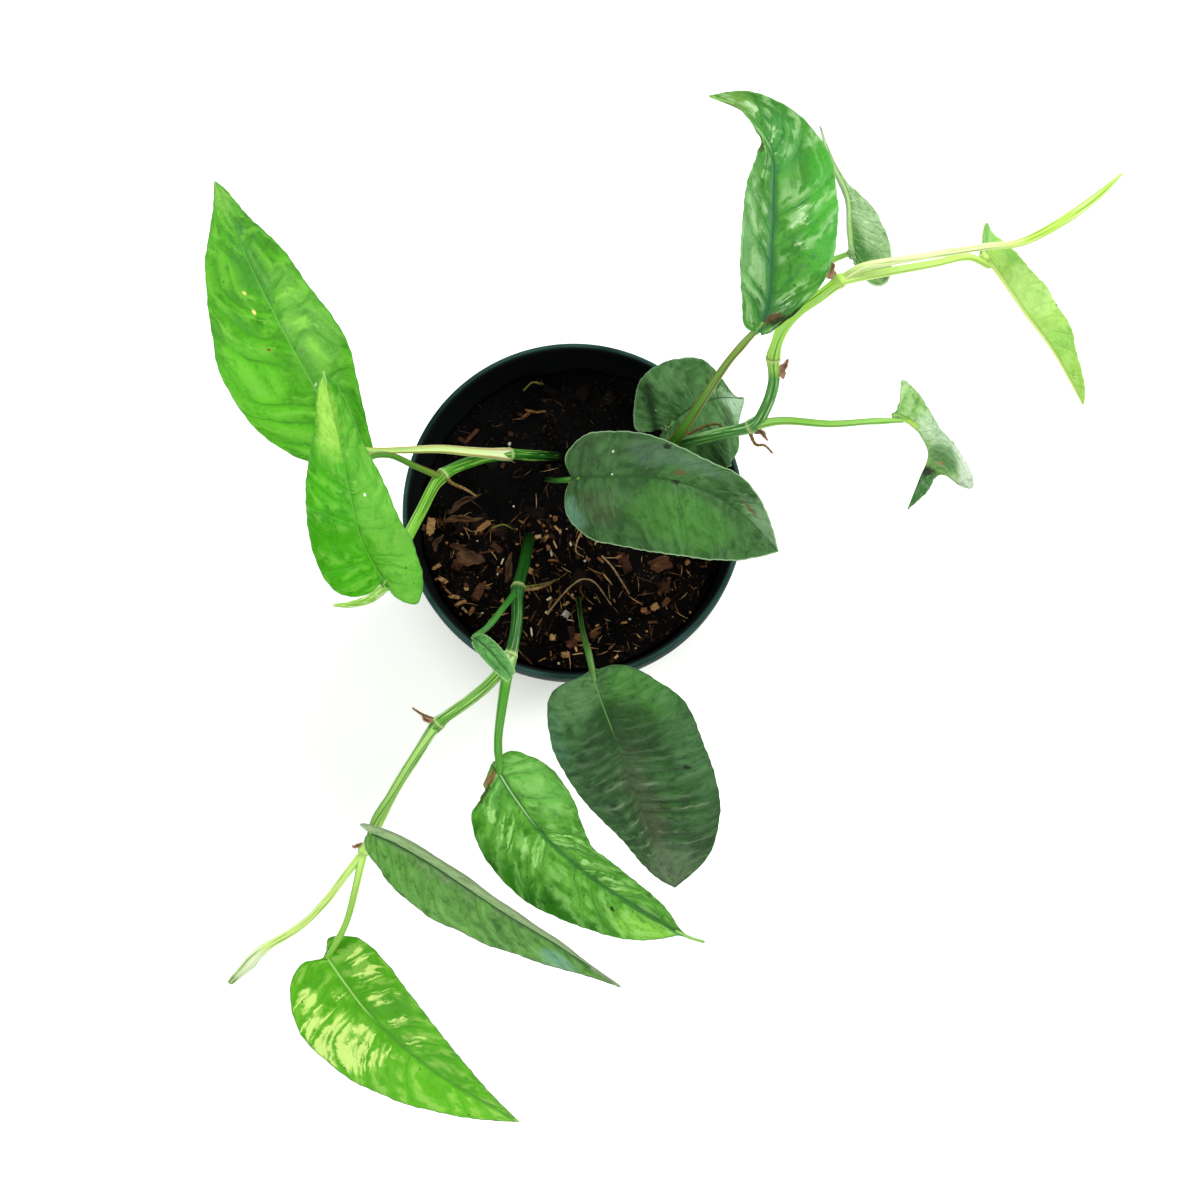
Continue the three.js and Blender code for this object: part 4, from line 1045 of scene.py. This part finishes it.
leaves["leaf_front_middle"] = young | dict(
    petiole=[(-19, -48.5, 103), (-19.5, -54, 106), (-21, -63, 104), (-22.5, -73, 98)], radius=(1.8, 1),
    rib=[(-24, -80.5, 91), (-17, -91.5, 88), (-7.5, -103.5, 82), (4.5, -114, 73), (19.5, -124.5, 61),
        (35.5, -134, 47), (43.5, -137, 43)],
    face=(0.1, -0.2, 1), fold=(10, 10), droop=2,
    left=[(-1.5, -3.5), (-1.5, -6), (0, -8.5), (2.2, -10.3), (6.5, -13.3), (12, -14.9), (18.3, -15),
        (25, -14.2), (31.7, -11.8), (38.6, -9.2), (42.6, -7.9), (51, -8), (61, -7.5), (72.7, -6.5),
        (82, -4.7), (93, -0.8)],
    right=[(0.3, 2), (3, 6), (4.5, 8), (6.8, 12), (10, 14.9), (15, 17.2), (21, 18.5), (27.5, 18.9),
        (35, 18.8), (42, 18.3), (50, 16.4), (58.5, 14.5), (67, 12.5), (79.5, 8.3), (89, 3), (93, 0.8)],
    field="62a83c", deep="458a20", pale="a2da7c", quilt=0.2, veinTone="2f6a28", veinShow=0.7, ribWidth=0.35,
    ribBand=("2d6828", 0.8, 1.2, 0.04, 0.92), ribTone="a9d292", ribEnd=0.32, edgeTone="54803f",
    zones=[(0.42, 0.97, 0.3, 0.3, "2b7410", 0.9), (0.2, -0.6, 0.16, 0.45, "6fb850", 0.7),
        (0.82, 0.6, 0.12, 0.5, "86ca46", 0.75), (0.12, 0.3, 0.1, 0.5, "5a9a48", 0.5)],
    flecks=[(0.2, 0.47, 0.05, 0.16, 0.14), (0.4, 0.25, 0.1, 0.3, 0.1), (0.47, -0.45, 0.08, 0.45, 0.12),
        (0.62, -0.4, 0.12, 0.5, 0.11), (0.3, 0.4, 0.1, 0.3, 0.08)],
    marks=[(0.07, 0.45, 0.04, 0.5, "7a5e3a", 0.9), (0.12, 0.75, 0.03, 0.25, "3a3018", 0.85),
        (0.7, 0.4, 0.008, 0.05, "14300c", 1)],
    bite=(1, 0.1, 0.03, 0.25), dryTip=0.955,
    stalkTones=[(0, "d2e8a8"), (0.12, "8fc65c"), (0.25, "4f9a2c"), (1, "56a032")], wing="3a7d20",
)
leaves["leaf_front_folded"] = old | dict(
    petiole=[(-41, -68.5, 99), (-47.5, -78, 100.5), (-54.5, -89, 98), (-60, -97, 95)], radius=(1.2, 0.9),
    rib=[(-61.5, -101, 92), (-53, -104.5, 95), (-41, -111.5, 94), (-22, -124.5, 87), (-4, -136, 77),
        (15, -149.5, 65)],
    face=(-0.2, -0.4, 1), fold=(50, 4), droop=1,
    left=[(-2, -5), (3, -9.7), (14, -11.7), (29, -12.2), (43, -11.4), (55, -9.6), (68, -7.1), (82, -3.3)],
    right=[(-1.5, 2.4), (0, 6), (3.5, 9), (14, 13), (29, 15.3), (42.6, 14), (55, 11.8), (68, 9), (77.3, 6.5),
        (87, 3)],
    field="6cac48", deep="54903a", pale="96c87c", veinTone="3c6a2c", veinShow=0.5,
    ribBand=("3d6c3a", 0.75, 1.2, 0.02, 0.9), edgeTone="6a5c66", under="8fa87c",
    # The first zone, the pale greyish left half, and the blue-green oval near the tip on the right are
    # painted sheen
    zones=[(0.45, -0.52, 0.7, 0.6, "9cb882", 0.95), (0.45, -1, 0.5, 0.3, "7a8a66", 0.6),
        (0.8, 0.7, 0.06, 0.35, "80b8a2", 0.6), (0.2, 0.5, 0.2, 0.4, "66a842", 0.5)],
    stalkTones=[(0, "a5d070"), (1, "8fc35c")],
)
leaves["leaf_front_tip"] = young | dict(
    petiole=[(-66, -107, 75), (-68.5, -117.5, 72), (-72, -128.5, 66), (-76.5, -136.5, 60)],
    radius=(1.2, 0.9),
    rib=[(-79.5, -141, 57), (-73, -149.5, 58), (-66, -158.5, 56), (-55, -170, 50), (-41, -182, 41),
        (-18.5, -197, 28)],
    face=(0.1, -0.2, 1), fold=(8, 8), droop=2,
    left=[(-3, -2), (-4.8, -4.5), (-2, -9), (1, -12), (6, -14), (11.5, -14.7), (17, -15), (29, -14),
        (42, -12), (58.5, -8.5), (75, -3.8)],
    right=[(-1.5, 3), (-3.4, 7), (-2.2, 11.5), (0.5, 15), (7, 19), (14.5, 20.7), (22.5, 20.5), (32, 19.3),
        (42, 17), (53, 13.7), (64, 10), (77, 5.5)],
    field="6ac024", deep="50a414", pale="dcf888", mottled=0.35, patch=0.5, veinTone="3f8420",
    edgeTone="5d6a52", fleckLong=4.6, ribTone="a6da76", ribEnd=0.38, ribBand=("468a2a", 0.6, 0.9, 0.4, 0.95),
    zones=[(0.3, -0.5, 0.35, 0.55, "489c12", 0.65), (0.75, 0.45, 0.2, 0.6, "66c022", 0.7),
        (0.7, -0.4, 0.2, 0.4, "4fa41a", 0.6), (0.95, 0, 0.1, 1.2, "74b93e", 0.6)],
    flecks=[(0.25, 0.75, 0.08, 0.3, 0.16), (0.38, 0.7, 0.12, 0.35, 0.19), (0.38, 0.42, 0.08, 0.25, 0.16),
        (0.46, 0.6, 0.07, 0.35, 0.15), (0.45, 0.25, 0.05, 0.14, 0.16), (0.28, 0.18, 0.06, 0.15, 0.1),
        (0.54, 0.35, 0.05, 0.25, 0.12), (0.2, -0.65, 0.05, 0.4, 0.14), (0.27, -0.5, 0.035, 0.4, 0.17),
        (0.37, -0.45, 0.035, 0.4, 0.16), (0.48, -0.5, 0.03, 0.35, 0.14), (0.58, -0.4, 0.03, 0.3, 0.14)],
    stalkTones=[(0, "c8ea80"), (0.4, "a5d65c"), (1, "86c840")], wing="78b53c",
)


def bladePaint(name, leaf):
    paint = Paint(name + "Blade", leaf["gloss"])
    across, line = paint.map()
    reach = across * 2 - 1
    part = reach.size()
    where = paint.vector(line, reach, 0)
    fromRib = paint.fact("fromRib")
    cloudy = paint.noise(75, 3)
    mottle = paint.noise(240, 4, 0.62)
    fine = paint.noise(750, 4, 0.75)
    ragged = (mottle - 0.5) * 1.6 + (cloudy - 0.5) * 1.2
    vein = paint.fact("vein") + (mottle - 0.5) * 0.45
    nearVein = vein.fold(0.5)
    dashes = paint.streaks(vein * leaf["fleckLong"], part * leaf["fleckRun"], reach * 0.6, 3, 0.6)
    puckers = paint.streaks(vein * 2.1, part * 4.2, reach * 0.6, 2, 0.6)
    grain = puckers * 0.3 + mottle * 0.35 + fine * 0.35
    patchy = (cloudy * 0.6 + puckers * 0.4).step(0.38, 0.6)
    paint.coat = paint.mix(patchy * leaf["patch"], leaf["deep"], leaf["field"])
    for *oval, tone, share in leaf["zones"]:
        paint.lay(paint.oval(where, ragged, *oval) * share, tone)
    paint.lay(grain.step(0.5, 0.62) * leaf["mottled"] * 0.7, leaf["lift"], "MULTIPLY")
    paint.lay(grain.step(0.5, 0.38) * leaf["mottled"] * 0.6, "8a9a7a", "MULTIPLY")
    # Pale cells between the lateral veins and dark lines along them: partly the leaf's own colour, partly
    # painted highlight on the puckers and painted shade in the vein grooves
    cell = nearVein.step(0.12, 0.4) * part.step(0.04, 0.2) * puckers.step(0.42, 0.58)
    paint.lay(cell * leaf["veinShow"] * 0.45, leaf["pale"])
    broken = part.step(1, 0.55) * (cloudy * 0.4 + mottle * 0.6).step(0.42, 0.58)
    broken = broken * (line.step(0.95, 0.75) * 0.8 + 0.2)
    paint.lay(nearVein.step(0.1, 0.01) * broken * leaf["veinShow"], leaf["veinTone"])
    amount = 0
    for *oval, share in leaf["flecks"]:
        amount = (paint.oval(where, ragged * 0.5, *oval) * share).top(amount)
    if leaf["flecks"]:
        flecks = (dashes * 0.65 + mottle * 0.35 + amount).step(0.6, 0.7) * amount.step(0.02, 0.08)
        paint.lay(flecks * nearVein.step(0.01, 0.12) * 0.8, leaf["pale"])
    # Painted light over the quilted zone: a painted highlight on the crests along the vein ridges, and
    # painted shade in the grooves between them
    if "litCrests" in leaf:
        litCrest = nearVein.step(0.36, 0.48) * dashes.step(0.46, 0.62) * part.step(0.05, 0.14)
        paint.lay(litCrest * paint.fact("quilted") * 0.6, leaf["litCrests"])
        grooveShade = nearVein.step(0.16, 0.03) * dashes.step(0.35, 0.5)
        paint.lay(grooveShade * paint.fact("quilted") * 0.6, leaf["deep"])
    if "ribBand" in leaf:
        tone, share, wide, low, high = leaf["ribBand"]
        band = (fromRib + (mottle - 0.5) * (wide * 1.6)).step(wide, wide * 0.25)
        paint.lay(band * line.step(low, low + 0.08) * line.step(high + 0.1, high) * share, tone)
    onRib = (fromRib / ((1 - line * 0.7) * leaf["ribWidth"])).step(1.2, 0.6)
    onRib = onRib * line.step(leaf["ribEnd"] + 0.1, leaf["ribEnd"])
    paint.lay(onRib * 0.85, leaf["ribTone"])
    onEdge = paint.fact("fromEdge").step(0.45, 0.12) * line.step(0, 0.03)
    paint.lay(onEdge * leaf["edgeShow"], leaf["edgeTone"])
    specks = (paint.cells(paint.place, 170) + (fine - 0.5) * 0.06).step(0.08, 0.05)
    paint.lay(specks * cloudy.step(0.5, 0.6) * leaf["specks"], "1c3a10")
    # Painted shade along the crease's fold
    if "crease" in leaf:
        paint.lay(paint.fact("crease"), leaf["crease"][-1])
    uneven = (mottle - 0.5) * 1.4 + (fine - 0.5) * 1.6
    for *oval, tone, share in leaf["marks"]:
        paint.lay(paint.oval(where, uneven, *oval) * share, tone)
    if "dryTip" in leaf:
        paint.lay(line.step(leaf["dryTip"] - 0.02, leaf["dryTip"] + 0.01), "8a7a34")
        paint.lay(line.step(0.985, 0.995), "5a3a20")
    under = paint.fact("under")
    paint.lay(under * 0.85, leaf["under"])
    fineVein = (vein * 6).fold(0.5)
    relief = nearVein.step(0, 0.14) * 0.3 + fineVein.step(0, 0.3) * 0.05 + grain * 1.3
    rough = leaf["rough"] - 0.08 + cloudy * 0.16 + under * 0.2
    return paint.finish(relief * (1 - onRib * 0.6), 0.0005, 0.8, rough)


def stalkPaint(name, leaf):
    paint, _, along, cloudy, lines = fibrous(name + "Stalk", leaf["stalkTones"], 300, 0.06, 14, 3)
    paint.lay(lines.step(0.5, 0.68) * along.step(0.3, 0.7) * 0.35, "d6eea8")
    paint.lay(paint.fact("wing").step(0.25, 0.8) * 0.75, leaf["wing"])
    paint.lay(along.step(0.86, 0.95) * 0.35, leaf["field"])
    return paint.finish(lines * 0.6 + paint.noise(2400) * 0.4, 0.0002, 0.8, cloudy * 0.2 + 0.3)


def bladePlaces(leaf, seed):
    # The same lines from the midrib to the margin as in the part's source, only many more of them
    rib = Route(leaf["rib"])
    line = np.linspace(0, 1, leafMesh["lines"] + 1)[:, None]
    reach = np.linspace(-1, 1, 2 * leafMesh["columns"] + 1)[None]
    part = np.abs(reach) ** leafMesh["crowding"]
    reach = np.sign(reach) * part
    left, right = (Route([(0, 0), *leaf[side], (rib.length, 0)]).at(line[:, 0]) for side in ("left", "right"))
    edgeAlong, edgeAcross = np.where(reach < 0, left.T[..., None], right.T[..., None])
    jag = np.sin(line * 180 + seed) + np.sin(line * 97 + 2 * seed)
    edgeAcross = edgeAcross + np.sign(edgeAcross) * 0.07 * jag * np.minimum(1, np.abs(edgeAcross) / 4)
    if "bite" in leaf:
        side, middle, width, depth = leaf["bite"]
        hollow = np.exp(-(((line - middle) / width) ** 4)) * (1 + 0.2 * jag)
        edgeAcross = edgeAcross * np.where(reach * side > 0, 1 - depth * hollow, 1)
    along = between(rib.length * line**1.6, edgeAlong, part)
    across = edgeAcross * part
    held = np.clip(along, 0, rib.length)
    tangent = rib.heading(held / rib.length)
    side = unit(np.cross(tangent, leaf["face"]))
    up = np.cross(side, tangent)
    fold = np.radians(np.where(across < 0, *leaf["fold"]))
    fromRib = np.abs(across)
    spread = fromRib / max(abs(a) for _, a in leaf["left"] + leaf["right"])
    wave = 0.5 * spread**2 * np.sin(along * 0.35 + np.where(across < 0, 0, 2))
    wave = wave + 0.3 * spread * np.sin(along * 0.23 + seed) * np.cos(across * 0.3 + seed)
    lift = fromRib * np.sin(fold) - leaf["droop"] * spread**2 + wave
    places = rib.at(held / rib.length) + tangent * (along - held)[..., None]
    places = places + side * (across * np.cos(fold))[..., None] + up * lift[..., None]
    wander = 0.2 * np.sin(23 * line + seed) + 0.12 * np.sin(41 * line + 2 * seed)
    wander = wander + 0.08 * np.sin(6 * part + 9 * line)
    arch = np.where(reach < 0, *np.broadcast_to(leaf["arch"], 2))
    vein = leaf["veins"] * (line - arch * part**2) + 0.4 * (reach > 0) + wander
    fade = ease(part, 0.02, 0.2) * (1 - part**4) * (0.7 + 0.3 * np.sin(17 * line + 5 * part + seed))
    fade = fade * ease(1 - line, 0.03, 0.2)
    facts = dict(fromRib=fromRib, vein=vein, fromEdge=np.abs(edgeAcross) * (1 - part))
    if "quiltAt" in leaf:
        middle, width = leaf["quiltAt"]
        facts["quilted"] = bell(line - middle, width) * (1 - part**3)
        fade = fade * (0.2 + 0.8 * facts["quilted"])
    relief = -leaf["quilt"] * np.cos(fullTurn * vein) * fade - 0.3 * (1 - 0.6 * line) * bell(fromRib, 0.7)
    if "crease" in leaf:
        start, end, width, depth, _ = leaf["crease"]
        run = np.subtract(end, start)
        offset = places[..., :2] - start
        t = np.clip(offset @ run / (run @ run), 0, 1)
        facts["crease"] = bell(np.linalg.norm(offset - t[..., None] * run, axis=-1), width) * depth
        relief = relief - facts["crease"]
    facts["relief"] = relief
    thick = between(leafMesh["thin"], leafMesh["thick"], ease(1 - part, 0, 0.3))
    facts["thick"] = thick + leafMesh["keel"] * (1 - 0.85 * line) * bell(fromRib, 1.1)
    return places, reach / 2 + 0.5, line, facts


def makeBlade(name, leaf, seed):
    blade = placedGrid(name + "_blade", *bladePlaces(leaf, seed))
    mesh = blade.data
    count = len(mesh.vertices)
    relief, thick = (readAll(mesh.attributes[fact].data, "value") for fact in ("relief", "thick"))
    normals = readAll(mesh.vertex_normals, "vector", 3)
    lift = np.repeat((relief + leafMesh["thick"] / 2) * mm, 3)
    mesh.vertices.foreach_set("co", readAll(mesh.vertices, "co", 3) + normals * lift)
    greatest = float(thick.max())
    group = blade.vertex_groups.new(name="thick")
    for i, value in enumerate(thick):
        group.add([i], float(value) / greatest, "REPLACE")
    modify("SOLIDIFY", thickness=greatest * mm, offset=-1, vertex_group="thick", thickness_vertex_group=0)
    giveFact(mesh, "under", np.arange(len(mesh.vertices)) >= count)
    bpy.ops.object.shade_smooth_by_angle(angle=math.radians(60))
    return blade


def makeStalk(name, leaf):
    rib = Route(leaf["rib"])
    thin = leaf["radius"][1]
    face = unit(np.array(leaf["face"]))
    end = rib.at(0) - face * 0.7 * thin
    if unit(rib.at(0) - leaf["petiole"][-1]) @ rib.heading(0.02) > 0.26:
        end = rib.at(min(0.3, 3 / rib.length)) - face * 0.8 * thin
    route = Route([*leaf["petiole"], end])

    def radius(shares):
        along = shares * route.length
        knee = 0.14 * bell(route.length - 9 - along, 3.2)
        return between(*leaf["radius"], shares) * (1 + knee + 0.22 * bell(along, 5))

    def wings(angles, width):
        return bell(np.abs(turnFrom(math.pi / 2, angles)) - 0.78, width)

    def channelled(angles, along):
        hollow = 0.16 * wings(angles, 0.22) - 0.3 * bell(turnFrom(math.pi / 2, angles), 0.38)
        return 1 + hollow * ease(route.length - along, 5, 14) + 0.02 * np.cos(11 * angles)

    facts = dict(wing=lambda _, angles: wings(angles, 0.26))
    return tube(name + "_stalk", route, radius, 28, 0.7, channelled, leaf["face"], facts)


for seed, (name, leaf) in enumerate(leaves.items()):
    settle(makeBlade(name, leaf, seed), bladePaint(name, leaf), leaf["slot"], name)
    settle(makeStalk(name, leaf), stalkPaint(name, leaf), leaf["slot"], name)
print("leaves ready:", len(leaves))


# New leaves, still rolled: each one's route, and its radius and tones along it
shoots = {}
shoots["new_leaf_left"] = dict(
    route=[(-56.5, -27, 105), (-61.5, -30.5, 103), (-67.5, -32, 101), (-73, -32, 99)],
    radius=(1.5, 1.4, 1.1, 0.5), tones=[(0, "86be48"), (0.5, "8cc748"), (1, "a8d860")],
)
shoots["new_leaf_right"] = dict(
    route=[(76.5, 53.5, 152), (82, 56.2, 154.5), (90, 57.4, 156), (102, 59.2, 156.5), (116.5, 61.5, 156.5),
        (127, 63.2, 155.5), (139, 70, 153.5), (150, 78.5, 150), (159, 87.3, 146)],
    radius=(1.3, 1.2, 1, 1, 1, 1.3, 1.45, 1.2, 0.4),
    tones=[(0, "cdeb84"), (0.12, "e2f2ac"), (0.45, "e6f5a8"), (0.58, "b9e252"), (0.8, "a9da44"),
        (1, "b6df5c")],
)
shoots["new_leaf_front"] = dict(
    route=[(-66, -107, 75), (-72, -114.5, 72.5), (-78.5, -122.5, 68.5), (-87.5, -130.5, 62),
        (-101, -138.5, 54), (-106.5, -143.5, 50), (-113, -149.5, 45)],
    radius=(1.3, 1.2, 1.2, 1.2, 1.3, 2.2, 1),
    tones=[(0, "bfe878"), (0.4, "c8ea72"), (0.68, "cfee86"), (0.78, "dcecc4"), (0.93, "d6e8ba"),
        (0.97, "5c8f3c")],
)


def shootPaint(name, tones):
    paint, around, along, cloudy, lines = fibrous(name + "Skin", tones, 260, 0.05, 12, 4)
    paint.lay(lines.step(0.52, 0.62) * 0.7, "f2fac8")
    paint.lay(lines.step(0.47, 0.34) * 0.8, "78ac2c")
    paint.lay(paint.streaks(around * 18, along * 70, 5).step(0.68, 0.76) * 0.5, "6f9a35")
    paint.lay(paint.fact("seam") * 0.6, "7fb13e")
    return paint.finish(lines * 0.6 + paint.noise(2400) * 0.4, 0.0002, 0.8, cloudy * 0.2 + 0.28)


def makeShoot(name, shoot):
    route = Route(shoot["route"])
    spots = np.linspace(0, 1, len(shoot["radius"]))

    def radius(shares):
        return np.interp(shares, spots, shoot["radius"])

    def seamAt(along):
        return 1.2 + 0.055 * along

    def rolled(angles, along):
        turn = np.mod(angles - seamAt(along), fullTurn) / fullTurn
        return 1 + 0.16 * ease(along / route.length, 0.1, 0.4) * (turn - 0.5 - 0.5 * bell(turn, 0.05))

    def seam(shares, angles):
        return bell(turnFrom(seamAt(shares * route.length), angles), 0.22) * ease(shares, 0.1, 0.4)

    spear = tube(name + "_roll", route, radius, 32, 0.5, rolled, facts=dict(seam=seam))
    settle(spear, shootPaint(name, shoot["tones"]), "new_leaf", name)


for name, shoot in shoots.items():
    makeShoot(name, shoot)
print("new leaves ready")
